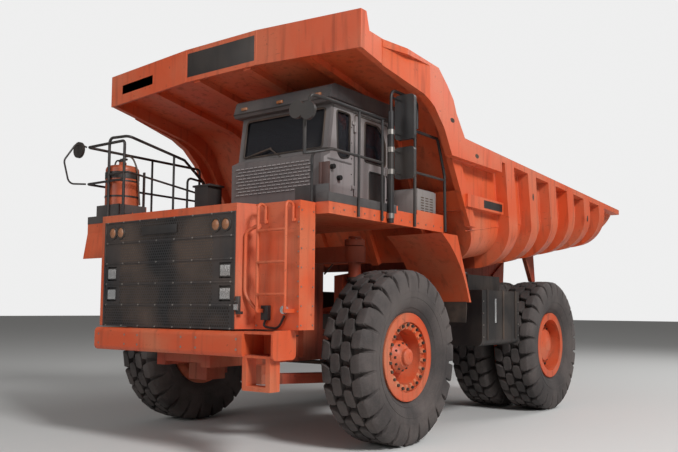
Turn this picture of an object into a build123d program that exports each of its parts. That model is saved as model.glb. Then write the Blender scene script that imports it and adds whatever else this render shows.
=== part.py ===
"""Rigid mining dump truck, built in millimetres with the front towards -Y and the cab towards +X.

Every sketch is placed on a plane whose origin stands on the ground below the front axle,
so lengths along the truck are given from that axle: minus is ahead of it, plus is behind it.
"""
from build123d import *
import math
import os

# ---- driving dimensions -------------------------------------------------------------------
front_axle_y = -2710        # the origin is below the middle of the whole truck
wheelbase = 4400
tyre_r = 1060
tyre_w = 650
rim_seat_r = 445
rim_flange_r = 533

front_wheel_x = 1795        # middle of a front tyre
kingpin_x = 1220
rear_outer_x = 1825         # middle of an outer rear tyre
rear_inner_x = 1045

rail_in, rail_out = 310, 460
deck_top = 2765
deck_x = 2050               # outer edge of the left deck
right_deck_x = 2170
deck_front, deck_rear = -1600, 860
plate = 25

cab_in, cab_out = 180, 1600
cab_floor_z, cab_eaves, cab_top = 2805, 4020, 4240
cab_front_low, cab_back = -1180, 280
wall = 50

bed_x = 2300                # outer face of the ribs
skin_x = 2120
skin_t = 25
rib_bend = 600
floor_slope = 8.5
pivot_y, pivot_z, pivot_r = 5780, 1830, 50
canopy_front = -1255

hoist_x = 600
hoist_low = (3050, 800)
hoist_high = (3150, 2250)

tan_floor = math.tan(math.radians(floor_slope))


# ---- helpers ------------------------------------------------------------------------------
def side_plane(x):
    """A plane across the truck at x, with sketch axes (along, up)."""
    return Plane(origin=(x, front_axle_y, 0), x_dir=(0, 1, 0), z_dir=(1, 0, 0))


def top_plane(z):
    """A level plane at height z, with sketch axes (across, along)."""
    return Plane(origin=(0, front_axle_y, z), x_dir=(1, 0, 0), z_dir=(0, 0, 1))


def front_plane(y):
    """An upright plane facing forwards at y, with sketch axes (across, up)."""
    return Plane(origin=(0, front_axle_y + y, 0), x_dir=(1, 0, 0), z_dir=(0, -1, 0))


def block(x0, x1, y0, y1, z0, z1, mode=Mode.ADD):
    """A box between two opposite corners, in the part being built."""
    with Locations((x0, front_axle_y + y0, z0)):
        Box(x1 - x0, y1 - y0, z1 - z0, align=(Align.MIN, Align.MIN, Align.MIN), mode=mode)


def slab(outline, x0, x1, mode=Mode.ADD):
    """An (along, up) outline made solid from x0 to x1."""
    with BuildSketch(side_plane(x0)) as drawn:
        with BuildLine():
            Polyline(*outline, close=True)
        make_face()
    extrude(drawn.sketch, amount=x1 - x0, mode=mode)


def sheet(outline, z0, z1, mode=Mode.ADD):
    """An (across, along) outline made solid from z0 to z1."""
    with BuildSketch(top_plane(z0)) as drawn:
        with BuildLine():
            Polyline(*outline, close=True)
        make_face()
    extrude(drawn.sketch, amount=z1 - z0, mode=mode)


def rod(x0, x1, y, z, r, mode=Mode.ADD):
    """A round bar along X."""
    with BuildSketch(side_plane(x0)) as drawn:
        with Locations((y, z)):
            Circle(r)
    extrude(drawn.sketch, amount=x1 - x0, mode=mode)


def post(x, y, z0, z1, r, mode=Mode.ADD):
    """A round bar along Z."""
    with BuildSketch(top_plane(z0)) as drawn:
        with Locations((x, y)):
            Circle(r)
    extrude(drawn.sketch, amount=z1 - z0, mode=mode)


def tube(points, r, bend):
    """A bent round bar through (across, along, up) points."""
    placed = [(x, front_axle_y + y, z) for x, y, z in points]
    with BuildLine() as run:
        if len(placed) > 2:
            FilletPolyline(*placed, radius=bend)
        else:
            Line(*placed)
    with BuildSketch(Plane(origin=run.line @ 0, z_dir=run.line % 0)) as drawn:
        Circle(r)
    sweep(drawn.sketch, path=run.line)


def strut(y0, z0, y1, z1, x, r, start, end, mode=Mode.ADD):
    """A round bar in the plane x, from start to end along the line between two points."""
    along = Vector(0, y1 - y0, z1 - z0).normalized()
    low = Vector(x, front_axle_y + y0, z0) + along * start
    with BuildSketch(Plane(origin=low, x_dir=(1, 0, 0), z_dir=along)) as drawn:
        Circle(r)
    extrude(drawn.sketch, amount=end - start, mode=mode)


def save(builder, name):
    """Label a finished piece and write its STEP file."""
    builder.part.label = name
    export_step(builder.part, f"parts/{name}.step")


os.makedirs("parts", exist_ok=True)
sides = (("left", 1), ("right", -1))

# ---- frame --------------------------------------------------------------------------------
rail_top = [(-1750, 1350), (900, 1350), (1500, 1650), (5800, 2036)]
rail_bottom = [(5920, 1960), (5960, 1830), (5920, 1700), (5780, 1640), (3350, 1480), (2650, 1150),
               (900, 950), (-1750, 950)]

with BuildPart() as frame_rails:
    for side in (-1, 1):
        x0, x1 = sorted((side * rail_in, side * rail_out))
        slab(rail_top + rail_bottom, x0, x1)
    rod(-rail_out, rail_out, pivot_y, pivot_z, pivot_r, mode=Mode.SUBTRACT)
save(frame_rails, "frame_rails")

with BuildPart() as cross_members:
    block(-rail_in, rail_in, -1750, -1500, 1000, 1320)
    rod(-rail_in, rail_in, 1300, 1440, 80)
    rod(-rail_in, rail_in, 5250, 1780, 110)
    rod(-690, 690, hoist_low[0], hoist_low[1], 60)
    for side in (-1, 1):
        x0, x1 = sorted((side * 400, side * rail_out))
        slab([(2760, 1201), (3340, 1475), (3180, 720), (2920, 720)], x0, x1)
    rod(-540, 540, pivot_y, pivot_z, pivot_r)
    for side in (-1, 1):
        x0, x1 = sorted((side * rail_out, side * 980))
        block(x0, x1, 2250, 2400, 1250, 1400)
        block(x0, x1, 2850, 2930, 1500, 1600)
save(cross_members, "cross_members")

# ---- nose ---------------------------------------------------------------------------------
bumper_front, bumper_back = -2120, -1760
bumper_low, bumper_high = 1120, 1390
bumper_right, step_in, bumper_left = -1200, 1325, 1760
leg_tops = ((1310, 1370), (1640, 1700))

with BuildPart() as front_bumper:
    block(bumper_right, step_in, bumper_front, bumper_back, bumper_low, bumper_high)
    long_edges = front_bumper.edges().filter_by(Axis.X).group_by(Axis.Y)[0]
    fillet(long_edges, 55)
    block(step_in, bumper_left - plate, bumper_front + 30, bumper_back, bumper_low, bumper_low + plate)
    block(step_in, bumper_left - plate, bumper_front + 30, bumper_back, bumper_high - plate, bumper_high)
    block(step_in, bumper_left - plate, bumper_back - plate, bumper_back, bumper_low, bumper_high)
    with BuildSketch(side_plane(bumper_left - plate)):
        with Locations(((bumper_front + bumper_back) / 2, (bumper_low + bumper_high) / 2)):
            RectangleRounded(bumper_back - bumper_front, bumper_high - bumper_low + 36, 60)
    extrude(amount=plate)
    for x0, x1 in leg_tops:
        block(x0, x1, -2090, -1940, 830, bumper_low)
    block(leg_tops[0][0], leg_tops[1][1], -2090, -1940, 780, 830)
    for side in (-1, 1):
        x0, x1 = sorted((side * rail_in, side * rail_out))
        block(x0, x1, bumper_back, -1750, bumper_low, 1340)
save(front_bumper, "front_bumper")

grille_front, grille_back = -2045, -2005
grille_x, grille_low, grille_high = 1130, 1415, 2670
row_pitch = (grille_high - grille_low) / 5
round_lamps = [(side * x, grille_high - row_pitch / 2) for side in (-1, 1) for x in (830, 985)]
square_lamps = [(side * 985, grille_low + row_pitch * row) for side in (-1, 1) for row in (1.5, 2.5)]

with BuildPart() as grille:
    block(-grille_x, grille_x, grille_front, grille_back, grille_low, grille_high)
    for row in range(1, 5):
        z = grille_low + row * row_pitch
        block(-grille_x, grille_x, grille_front, grille_front + 12, z - 4, z + 4, mode=Mode.SUBTRACT)
    with BuildSketch(front_plane(grille_front)):
        with Locations(*round_lamps):
            Circle(72)
        with Locations(*square_lamps):
            Rectangle(180, 170)
    extrude(amount=-30, mode=Mode.SUBTRACT)
save(grille, "grille")

with BuildPart() as headlamps:
    with BuildSketch(front_plane(grille_front + 30)):
        with Locations(*round_lamps):
            Circle(66)
        with Locations(*square_lamps):
            Rectangle(160, 120)
    extrude(amount=26)
save(headlamps, "headlamps")

nose_front, nose_side, nose_back = -2050, -1850, -1600
nose_low, hood_low = 1410, deck_top - plate
nose_line = [(-1200, nose_back), (-1200, nose_front), (1150, nose_front), (1256, nose_side),
             (1870, nose_side), (1870, nose_back)]

with BuildPart() as front_shroud:
    sheet(nose_line, nose_low, hood_low)
    inner_line = [(-1175, nose_back), (-1175, nose_front + plate), (1137, nose_front + plate),
                  (1240, nose_side + plate), (1845, nose_side + plate), (1845, nose_back)]
    sheet(inner_line, nose_low, hood_low, mode=Mode.SUBTRACT)
    block(-grille_x, grille_x, nose_front, nose_front + 60, grille_low, grille_high, mode=Mode.SUBTRACT)
    sheet([(-1200, deck_rear), (-1200, nose_front), (1150, nose_front), (1240, nose_side),
           (1240, deck_rear)], hood_low, deck_top)
save(front_shroud, "front_shroud")

stile_xs = (1400, 1790)
with BuildPart() as ladder:
    for x in stile_xs:
        tube([(x, -1980, 1600), (x, -1980, 2740), (x, -1870, 2740), (x, -1870, 2540)], 17, 50)
        rod(x - 17, x + 17, -1862, 2560, 12)
    for z in (1780, 2115, 2450):
        rod(stile_xs[0], stile_xs[1], -1980, z, 13)
    for x in stile_xs:
        block(x - 20, x + 20, -1990, nose_side, 1590, 1630)
    for x in stile_xs:
        block(x - 20, x + 20, -1880, nose_side, 2545, 2575)
save(ladder, "ladder")

# ---- decks with their front mudguards ------------------------------------------------------
guard_arc = [(deck_rear - 30, 2640), (1330, 2240), (1600, 1740)]
toe_z = deck_top + 100


def mudguard(x0, x1, edge_x0, edge_x1):
    """The plate behind a front wheel: a curved sheet with a wedge-shaped outer cheek."""
    for low, high, thick in ((x0, x1, 20), (edge_x0, edge_x1, 0)):
        with BuildSketch(side_plane(low)) as drawn:
            with BuildLine():
                ThreePointArc(*guard_arc)
                if thick:
                    Line(guard_arc[2], (1624, 1740))
                    ThreePointArc((1624, 1740), (1349, 2256), (855, 2640))
                    Line((855, 2640), guard_arc[0])
                else:
                    Polyline(guard_arc[2], (1660, 1740), (1260, 2640), guard_arc[0])
            make_face()
        extrude(drawn.sketch, amount=high - low)


def skirts(x_out, x_front_in):
    """The folded edge round a deck: outer, front and rear strips, with a toe board above."""
    sign = 1 if x_out > 0 else -1
    xs = sorted((x_out, x_out - sign * plate))
    block(xs[0], xs[1], deck_front, deck_rear, 2640, hood_low)
    across = sorted((x_out - sign * plate, x_front_in))
    block(across[0], across[1], deck_front, deck_front + plate, 2640, hood_low)
    block(across[0], across[1], deck_rear - plate, deck_rear, 2640, hood_low)
    toe = sorted((x_out, x_out - sign * 12))
    block(toe[0], toe[1], deck_front, deck_rear, deck_top, toe_z)
    front = sorted((x_out - sign * 12, x_front_in))
    block(front[0], front[1], deck_front, deck_front + 12, deck_top, toe_z)


with BuildPart() as left_deck:
    sheet([(1240, nose_side), (1870, nose_side), (1870, deck_front), (deck_x, deck_front),
           (deck_x, deck_rear), (1240, deck_rear)], hood_low, deck_top)
    skirts(deck_x, 1880)
    block(deck_x - 12, deck_x, -270, 170, deck_top + 45, toe_z, mode=Mode.SUBTRACT)
    mudguard(1150, deck_x - 50, deck_x - 50, deck_x - 30)
save(left_deck, "left_deck")

with BuildPart() as right_deck:
    block(-right_deck_x, -1200, deck_front, deck_rear, hood_low, deck_top)
    skirts(-right_deck_x, -1210)
    mudguard(-right_deck_x + 50, -1150, -right_deck_x + 30, -right_deck_x + 50)
    slab([(deck_front, 2640), (-1660, 2290), (-1640, 2290), (deck_front + 20, 2640)], -right_deck_x, -1230)
save(right_deck, "right_deck")

shaft_line = (1100, 1250, 3960, 1075)
with BuildPart() as power_train:
    block(-290, 290, -1350, 450, 1000, 2350)
    block(-250, 250, 520, 1100, 980, 1560)
    strut(*shaft_line, 0, 65, 0, 2860)
    block(-900, 900, -1930, -1770, 1480, 2640)
save(power_train, "power_train")

# ---- cab ----------------------------------------------------------------------------------
front_outer = [(cab_front_low, cab_floor_z), (cab_front_low, 3400), (-1065, 3460), (-990, cab_eaves)]
front_inner = [(-939, cab_eaves), (-1018, 3430), (-1130, 3372), (-1130, cab_floor_z)]
screen_low, screen_high = 3490, 3985
rear_wall_y = cab_back - wall
door_y0, door_y1 = -550, 190
door_z0, door_z1 = 2830, 3990
seam = 8
hinge_x, hinge_y, hinge_r = cab_out + 18, door_y0 - 5, 12
hinge_zs = (2980, 3760)


def on_front(z, depth):
    """Distance along the truck of the raked windscreen face at height z, depth inside it."""
    (y0, z0), (y1, z1) = front_outer[2], front_outer[3]
    return y0 + (y1 - y0) * (z - z0) / (z1 - z0) + depth


def hinge_knuckle(z, height):
    """One round knuckle of a door hinge, standing on z."""
    with Locations((hinge_x, front_axle_y + hinge_y, z)):
        Cylinder(hinge_r, height, align=(Align.CENTER, Align.CENTER, Align.MIN))


with BuildPart() as cab_floor:
    block(cab_in, cab_out, cab_front_low, cab_back, deck_top, cab_floor_z)
save(cab_floor, "cab_floor")

with BuildPart() as cab_front:
    slab(front_outer + front_inner, cab_in, cab_out)
    with BuildSketch(front_plane(-1300)):
        with Locations(((cab_in + cab_out) / 2, (screen_low + screen_high) / 2)):
            RectangleRounded(cab_out - cab_in - 150, screen_high - screen_low, 50)
    extrude(amount=-500, mode=Mode.SUBTRACT)
save(cab_front, "cab_front")

side_line = [(-1130, cab_floor_z), (-1130, 3372), (-1018, 3430), (-939, cab_eaves),
             (rear_wall_y, cab_eaves), (rear_wall_y, cab_floor_z)]
quarter_light = [(-900, 3960), (-630, 3960), (-640, 3440), (-800, 3400), (-870, 3450)]
inner_light = (-800, 120, 3400, 3940)

with BuildPart() as cab_side_walls:
    slab(side_line, cab_out - wall, cab_out)
    block(cab_out - wall, cab_out, door_y0 - seam, door_y1 + seam, door_z0 - seam, door_z1 + seam,
          mode=Mode.SUBTRACT)
    slab(quarter_light, cab_out - wall, cab_out, mode=Mode.SUBTRACT)
    slab(side_line, cab_in, cab_in + wall)
    block(cab_in, cab_in + wall, *inner_light, mode=Mode.SUBTRACT)
    for z in hinge_zs:
        block(cab_out, hinge_x, hinge_y - 45, hinge_y - 5, z + 85, z + 125)
        hinge_knuckle(z + 85, 40)
save(cab_side_walls, "cab_side_walls")

rear_light = (450, 1350, 3400, 3940)
with BuildPart() as cab_rear_wall:
    block(cab_in, cab_out, rear_wall_y, cab_back, cab_floor_z, cab_eaves)
    block(rear_light[0], rear_light[1], rear_wall_y, cab_back, rear_light[2], rear_light[3],
          mode=Mode.SUBTRACT)
save(cab_rear_wall, "cab_rear_wall")

with BuildPart() as cab_roof:
    slab([(-1085, cab_eaves), (-1110, 4060), (-1060, cab_top - 25), (-1020, cab_top), (290, cab_top),
          (340, cab_top - 40), (340, cab_eaves)], cab_in - 60, cab_out + 60)
    block(cab_in + wall, cab_out - wall, -930, rear_wall_y, cab_eaves, 4130, mode=Mode.SUBTRACT)
save(cab_roof, "cab_roof")

glass_t = 8
with BuildPart() as cab_glass:
    with BuildSketch(side_plane(cab_in + 76)):
        with BuildLine():
            Polyline((on_front(screen_low, 20), screen_low), (on_front(screen_high, 20), screen_high),
                     (on_front(screen_high, 28), screen_high), (on_front(screen_low, 28), screen_low),
                     close=True)
        make_face()
    extrude(amount=cab_out - cab_in - 152)
    with BuildSketch(front_plane(-1300)):
        with Locations(((cab_in + cab_out) / 2, (screen_low + screen_high) / 2)):
            RectangleRounded(cab_out - cab_in - 150, screen_high - screen_low, 50)
    extrude(amount=-500, mode=Mode.INTERSECT)
    slab(quarter_light, cab_out - 30, cab_out - 30 + glass_t)
    block(cab_in + 22, cab_in + 22 + glass_t, *inner_light)
    block(rear_light[0], rear_light[1], rear_wall_y + 20, rear_wall_y + 20 + glass_t,
          rear_light[2], rear_light[3])
save(cab_glass, "cab_glass")

door_light = [(-330, 3440), (130, 3440), (130, 3700), (60, 3860), (-40, 3930), (-330, 3930)]
lower_light = (-230, 110, 2960, 3330)
with BuildPart() as cab_door:
    block(cab_out - wall, cab_out, door_y0, door_y1, door_z0, door_z1)
    slab(door_light, cab_out - wall, cab_out, mode=Mode.SUBTRACT)
    block(cab_out - 12, cab_out, *lower_light, mode=Mode.SUBTRACT)
    block(cab_out, cab_out + 35, 110, 140, 3340, 3430)
    for z in hinge_zs:
        block(cab_out, hinge_x, door_y0, door_y0 + 40, z, z + 80)
        hinge_knuckle(z, 80)
save(cab_door, "cab_door")

with BuildPart() as cab_door_glass:
    slab(door_light, cab_out - 30, cab_out - 30 + glass_t)
save(cab_door_glass, "cab_door_glass")

wheel_x = 930
with BuildPart() as dashboard:
    slab([(-1130, cab_floor_z), (-1130, 3360), (-1030, 3400), (-880, 3400), (-780, 3250),
          (-860, 3080), (-860, cab_floor_z)], 330, 1470)
    strut(-840, 3180, -640, 3420, wheel_x, 28, 0, 300)
    along = Vector(0, 200, 240).normalized()
    hub = Vector(wheel_x, front_axle_y - 840, 3180) + along * 300
    with BuildSketch(Plane(origin=hub, x_dir=(1, 0, 0), z_dir=along)):
        Circle(60)
        Rectangle(420, 40)
    extrude(amount=18)
    with Locations(Plane(origin=hub + along * 9, x_dir=(1, 0, 0), z_dir=along)):
        Torus(215, 15)
save(dashboard, "dashboard")

with BuildPart() as seat_base:
    block(wheel_x - 180, wheel_x + 180, -360, 60, cab_floor_z, 3080)
save(seat_base, "seat_base")

with BuildPart() as driver_seat:
    block(wheel_x - 240, wheel_x + 240, -420, 60, 3081, 3210)
    fillet(driver_seat.edges().filter_by(Axis.Z), 50)
    slab([(70, 3120), (190, 3140), (215, 3860), (120, 3860)], wheel_x - 230, wheel_x + 230)
save(driver_seat, "driver_seat")

# ---- handrails and mirrors ----------------------------------------------------------------
rail_r, mid_r = 19, 16
rail_x = deck_x + rail_r
rail_y = deck_front - rail_r
top_z, mid_z = 3840, 3325


def foot(x, y, top):
    """An upright of a handrail that stands on the skirt's outer face."""
    post(x, y, 2650, top, mid_r)


with BuildPart() as left_handrails:
    tube([(1830, rail_y, deck_top), (1830, rail_y, mid_z), (rail_x, rail_y, mid_z),
          (rail_x, -620, mid_z)], mid_r, 90)
    tube([(1960, -1900, mid_z - 100), (1960, -1900, 3560), (2040, -1900, top_z), (rail_x, -1700, top_z),
          (rail_x, -620, top_z)], rail_r, 40)
    tube([(1960, -1900, mid_z - 90), (rail_x, -1700, mid_z - 40), (rail_x, -1560, mid_z)], mid_r - 2, 40)
    for y in (-1090, -630):
        foot(rail_x, y, top_z)
    tube([(rail_x, 85, 2650), (rail_x, 85, top_z), (rail_x, 640, top_z), (rail_x, 820, 3390),
          (rail_x, 840, 2650)], rail_r, 60)
    tube([(rail_x, 85, mid_z), (rail_x, 825, mid_z)], mid_r, 40)
save(left_handrails, "left_handrails")

right_rail_x = right_deck_x + rail_r
loop_x = 1300               # the inner rail, which turns the corner to a post in front
with BuildPart() as right_handrails:
    tube([(-right_rail_x, 430, 2650), (-right_rail_x, 430, top_z), (-right_rail_x, rail_y, top_z),
          (-1380, rail_y, top_z), (-1380, rail_y, 2650)], rail_r, 50)
    tube([(-right_rail_x, 430, mid_z), (-right_rail_x, rail_y, mid_z), (-1380, rail_y, mid_z)], mid_r, 50)
    foot(-right_rail_x, -510, top_z)
    tube([(-1705, rail_y, 2650), (-1705, rail_y, 3910), (-loop_x, rail_y, 3890), (-loop_x, -660, 3720),
          (-loop_x, -280, 3440), (-loop_x, -280, deck_top)], rail_r, 70)
    post(-loop_x, -850, deck_top, 3740, mid_r)
    tube([(-1705, rail_y, mid_z + 90), (-loop_x, rail_y, mid_z + 90), (-loop_x, -280, mid_z - 60)],
         mid_r - 2, 50)
    tube([(-1240, -650, deck_top), (-1240, -650, 3470), (-1240, -330, 3440), (-1240, -330, deck_top)],
         mid_r, 70)
save(right_handrails, "right_handrails")

mast_x, mast_y = deck_x + 38, -480
with BuildPart() as mirrors:
    post(mast_x, mast_y, 2640, 3960, 38)
    tube([(mast_x, mast_y, 3940), (mast_x, mast_y, 4220), (mast_x, 100, 4220),
          (mast_x, 100, top_z + 21)], rail_r, 90)
    for z0, z1 in ((3650, 4190), (3180, 3560)):
        with BuildSketch(front_plane(-250)):
            with Locations((2160, (z0 + z1) / 2)):
                RectangleRounded(270, z1 - z0, 45)
        extrude(amount=55)
        for z in (z0 + 60, z1 - 60):
            tube([(mast_x, mast_y, z), (mast_x, -300, z)], 11, 20)
    with BuildSketch(front_plane(-1925)):
        with Locations((1890, 3690), (2040, 3660)):
            Circle(95)
    extrude(amount=36)
    tube([(1890, -1935, 3690), (2040, -1935, 3660)], 12, 20)
    tube([(-right_rail_x, deck_front - 42, top_z), (-right_rail_x, -1800, top_z + 30),
          (-right_rail_x, -1985, 3600), (-right_rail_x, -1900, mid_z - 30),
          (-right_rail_x, deck_front - 42, mid_z)], 12, 90)
    with BuildSketch(front_plane(-1740)):
        with Locations((-right_rail_x, top_z - 60)):
            Circle(110)
    extrude(amount=36)
save(mirrors, "mirrors")

# ---- deck equipment -----------------------------------------------------------------------
tank_x, tank_y = -1745, -1390
with BuildPart() as extinguisher_tank:
    block(tank_x - 240, tank_x + 240, tank_y - 190, tank_y + 250, deck_top, 3010)
    post(tank_x, tank_y + 20, 3010, 3560, 222)
    fillet(extinguisher_tank.edges().filter_by(GeomType.CIRCLE).group_by(Axis.Z)[-1], 60)
    post(tank_x, tank_y + 20, 3550, 3620, 50)
save(extinguisher_tank, "extinguisher_tank")

with BuildPart() as intake_box:
    block(-390, -150, -1270, -1030, deck_top, 3190)
    block(-430, -110, -560, -100, deck_top, 3050)
save(intake_box, "intake_box")

with BuildPart() as side_tanks:
    block(980, 2040, 1950, 3200, 1120, 1920)
    block(1000, 1760, 2050, 3100, 1920, 2150)
    fillet(side_tanks.edges().filter_by(Axis.Y).filter_by(lambda e: e.center().Z < 1200), 90)
    block(-1960, -980, 1950, 3200, 1120, 1920)
save(side_tanks, "side_tanks")

# ---- front suspension and steering --------------------------------------------------------
axle_z = tyre_r
with BuildPart() as front_suspension:
    for side in (-1, 1):
        knee = side * kingpin_x
        inner = side * 640
        foot_x0, foot_x1 = sorted((side * rail_in, side * 640))
        block(foot_x0, foot_x1, -1080, -760, 720, 950)
        sheet([(inner, -1060), (inner, -780), (knee - side * 40, 85), (knee + side * 60, -60)], 720, 840)
        post(knee, 0, 700, 850, 125)
        post(knee, 0, 850, 1460, 50)
        post(knee, 0, 1450, 2560, 82)
        tower_x0, tower_x1 = sorted((side * rail_out, side * (kingpin_x - 60)))
        block(tower_x0, tower_x1, -130, 130, 2230, 2430)
        post(knee, 0, 2230, 2430, 140)
        riser_x0, riser_x1 = sorted((side * rail_out, side * (rail_out + 90)))
        block(riser_x0, riser_x1, -200, 200, 1000, 2430)
save(front_suspension, "front_suspension")

spindle_r = 90
arm_y = 450
for name, side in sides:
    knee = side * kingpin_x
    with BuildPart() as knuckle:
        post(knee, 0, 860, 1440, 115)
        reach = sorted((knee, side * 1990))
        rod(reach[0], reach[1], 0, axle_z, spindle_r)
        disc = sorted((side * 1400, side * 1440))
        rod(disc[0], disc[1], 0, axle_z, 330)
        flange = sorted((side * 1300, side * 1400))
        rod(flange[0], flange[1], 0, axle_z, 160)
        arm = sorted((knee - 45, knee + 45))
        block(arm[0], arm[1], 60, arm_y, 930, 990)
        post(knee, arm_y, 930, 990, 55)
        post(knee, arm_y, 870, 930, 22)
        post(knee, 0, 700, 1500, 51, mode=Mode.SUBTRACT)
    save(knuckle, f"knuckle_{name}")

with BuildPart() as tie_rod:
    rod(-kingpin_x + 60, kingpin_x - 60, arm_y, 895, 28)
    for side in (-1, 1):
        post(side * kingpin_x, arm_y, 870, 922, 62)
        post(side * kingpin_x, arm_y, 860, 930, 22.5, mode=Mode.SUBTRACT)
save(tie_rod, "tie_rod")

# ---- rear suspension ----------------------------------------------------------------------
with BuildPart() as rear_axle:
    rod(-640, 640, wheelbase, axle_z, 200)
    with Locations((0, front_axle_y + wheelbase, axle_z)):
        Sphere(330)
    for side in (-1, 1):
        tube_x = sorted((side * 640, side * 2000))
        rod(tube_x[0], tube_x[1], wheelbase, axle_z, 120)
        drum = sorted((side * 620, side * 690))
        rod(drum[0], drum[1], wheelbase, axle_z, 300)
        ear = sorted((side * 480, side * 600))
        slab([(4400, 870), (4780, 850), (4793, 929), (4667, 989), (4400, 1200)], ear[0], ear[1])
    strut(*shaft_line, 0, 110, 2860, 3200)
save(rear_axle, "rear_axle")

with BuildPart() as rear_suspension:
    for side in (-1, 1):
        strut(4730, 960, 5200, 1950, side * 540, 70, 0, 1050)
        x0, x1 = sorted((side * rail_out, side * 600))
        block(x0, x1, 5080, 5230, 1780, 1920)
        leg = sorted((side * rail_in, side * rail_out))
        slab([(3350, 900), (3350, 1480), (3480, 1488), (3480, 900)], leg[0], leg[1])
    block(-rail_out, rail_out, 3350, 3480, 900, 1020)
    slab([(4160, 930), (4160, 830), (3320, 880), (3320, 1000)], -170, 170)
    with Locations((0, front_axle_y + wheelbase, axle_z)):
        Sphere(331, mode=Mode.SUBTRACT)
save(rear_suspension, "rear_suspension")

# ---- wheels -------------------------------------------------------------------------------
tyre_half = tyre_w / 2
tyre_line = [(rim_seat_r, -214), (536, -214), (620, -285), (780, -tyre_half), (880, -tyre_half),
             (985, -308), (1045, -290), (tyre_r, -250), (tyre_r, 250), (1045, 290), (985, 308),
             (880, tyre_half), (780, tyre_half), (620, 285), (536, 214), (rim_seat_r, 214)]


def turned(outline, x, y, flip=1):
    """A (radius, across) outline turned about a wheel's axle."""
    centre = Plane(origin=(x, front_axle_y + y, axle_z), x_dir=(0, 0, 1), z_dir=(0, 1, 0))
    with BuildSketch(centre) as drawn:
        with BuildLine():
            Polyline(*[(radius, flip * across) for radius, across in outline], close=True)
        make_face()
    revolve(drawn.sketch, axis=Axis(centre.origin, (1, 0, 0)), revolution_arc=360)


barrel = [(rim_seat_r - 22, -244), (rim_flange_r, -244), (rim_flange_r, -216), (rim_seat_r, -214),
          (rim_seat_r, 214), (rim_flange_r, 216), (rim_flange_r, 244), (rim_seat_r - 22, 244)]
front_disc = [(spindle_r + 2, -210), (210, -210), (225, -70), (345, -40), (362, 150),
              (rim_seat_r - 22, 160), (rim_seat_r - 22, 200), (338, 200), (318, 0), (205, -25),
              (195, 120), (125, 200), (105, 208), (100, 240), (spindle_r + 2, 250)]
front_cap = [(0, 215), (spindle_r + 2, 215), (spindle_r + 2, 250), (60, 265), (0, 268)]
rear_disc = [(122, -300), (240, -300), (240, -60), (300, -20), (rim_seat_r - 22, -20),
             (rim_seat_r - 22, 20), (300, 20), (270, 60), (255, 150), (122, 190)]
rear_cap = [(0, 180), (122, 180), (122, 190), (90, 205), (0, 210)]

for name, side in sides:
    x = side * front_wheel_x
    with BuildPart() as front_tyre:
        turned(tyre_line, x, 0)
    save(front_tyre, f"front_tyre_{name}")
    with BuildPart() as front_rim:
        turned(barrel, x, 0)
        turned(front_disc, x, 0, side)
        turned(front_cap, x, 0, side)
    save(front_rim, f"front_rim_{name}")
    with BuildPart() as rear_tyres:
        for middle in (rear_inner_x, rear_outer_x):
            turned(tyre_line, side * middle, wheelbase)
    save(rear_tyres, f"rear_tyres_{name}")
    with BuildPart() as rear_rims:
        for middle in (rear_inner_x, rear_outer_x):
            turned(barrel, side * middle, wheelbase)
        turned(rear_disc, side * rear_outer_x, wheelbase, side)
        turned(rear_cap, side * rear_outer_x, wheelbase, side)
        gap = sorted((side * (rear_inner_x + 244), side * (rear_outer_x - 244)))
        with BuildSketch(side_plane(gap[0])):
            with Locations((wheelbase, axle_z)):
                Circle(500)
                Circle(rim_seat_r - 22, mode=Mode.SUBTRACT)
        extrude(amount=gap[1] - gap[0])
    save(rear_rims, f"rear_rims_{name}")

# ---- bed ----------------------------------------------------------------------------------
def weld_z(y):
    """Height of the seam where a side panel meets the rounded floor edge."""
    return 2870 + tan_floor * (y - 2440)


def under_z(y, depth=0):
    """Height of a line parallel to the floor, depth above the lowest faces of the ribs."""
    return weld_z(y) - (rib_bend - depth) / math.cos(math.radians(floor_slope))


rim_y = (960, 7440)
rim_z = (3880, 3640)


def rim_line(y):
    """Height of the bed's top edge."""
    return rim_z[0] + (rim_z[1] - rim_z[0]) * (y - rim_y[0]) / (rim_y[1] - rim_y[0])


# the front wall and canopy follow one folded line; the points are its underside
fold = [(-1225, 4640), (560, 4330), (1650, 2330)]
fold_bend = 700
wall_lean = (fold[2][0] - fold[1][0]) / (fold[1][1] - fold[2][1])


def wall_y(z, depth=0):
    """Distance along the truck of the sloping front wall at height z, depth behind its front face."""
    return fold[2][0] + (fold[2][1] - z) * wall_lean + depth * math.hypot(1, wall_lean)


def folded_plate(x0, x1, depth0, depth1):
    """A plate that follows the front wall and the canopy between two distances off its underside."""
    canopy_dir = Vector(fold[1][0] - fold[0][0], fold[1][1] - fold[0][1]).normalized()
    wall_dir = Vector(fold[2][0] - fold[1][0], fold[2][1] - fold[1][1]).normalized()
    canopy_off = Vector(-canopy_dir.Y, canopy_dir.X)
    wall_off = Vector(-wall_dir.Y, wall_dir.X)
    half_turn = math.radians(canopy_dir.get_angle(wall_dir) / 2)
    corner_off = (canopy_off + wall_off).normalized() / math.cos(half_turn)
    edges = []
    for depth in (depth0, depth1):
        points = [Vector(*fold[0]) + canopy_off * depth, Vector(*fold[1]) + corner_off * depth,
                  Vector(*fold[2]) + wall_off * depth]
        edges.append([(p.X, p.Y) for p in points])
    with BuildSketch(side_plane(x0)) as drawn:
        with BuildLine():
            near = FilletPolyline(*edges[0], radius=fold_bend + depth0)
            far = FilletPolyline(*edges[1], radius=fold_bend + depth1)
            Line(near @ 0, far @ 0)
            Line(near @ 1, far @ 1)
        make_face()
    extrude(drawn.sketch, amount=x1 - x0)


cos_floor = math.cos(math.radians(floor_slope))
floor_dir = Vector(0, cos_floor, math.sin(math.radians(floor_slope)))
flat_x = bed_x - rib_bend
skin_low = bed_x - skin_x
tail_z = (3600, 3130)
tail_y = (7527, 7147)


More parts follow.
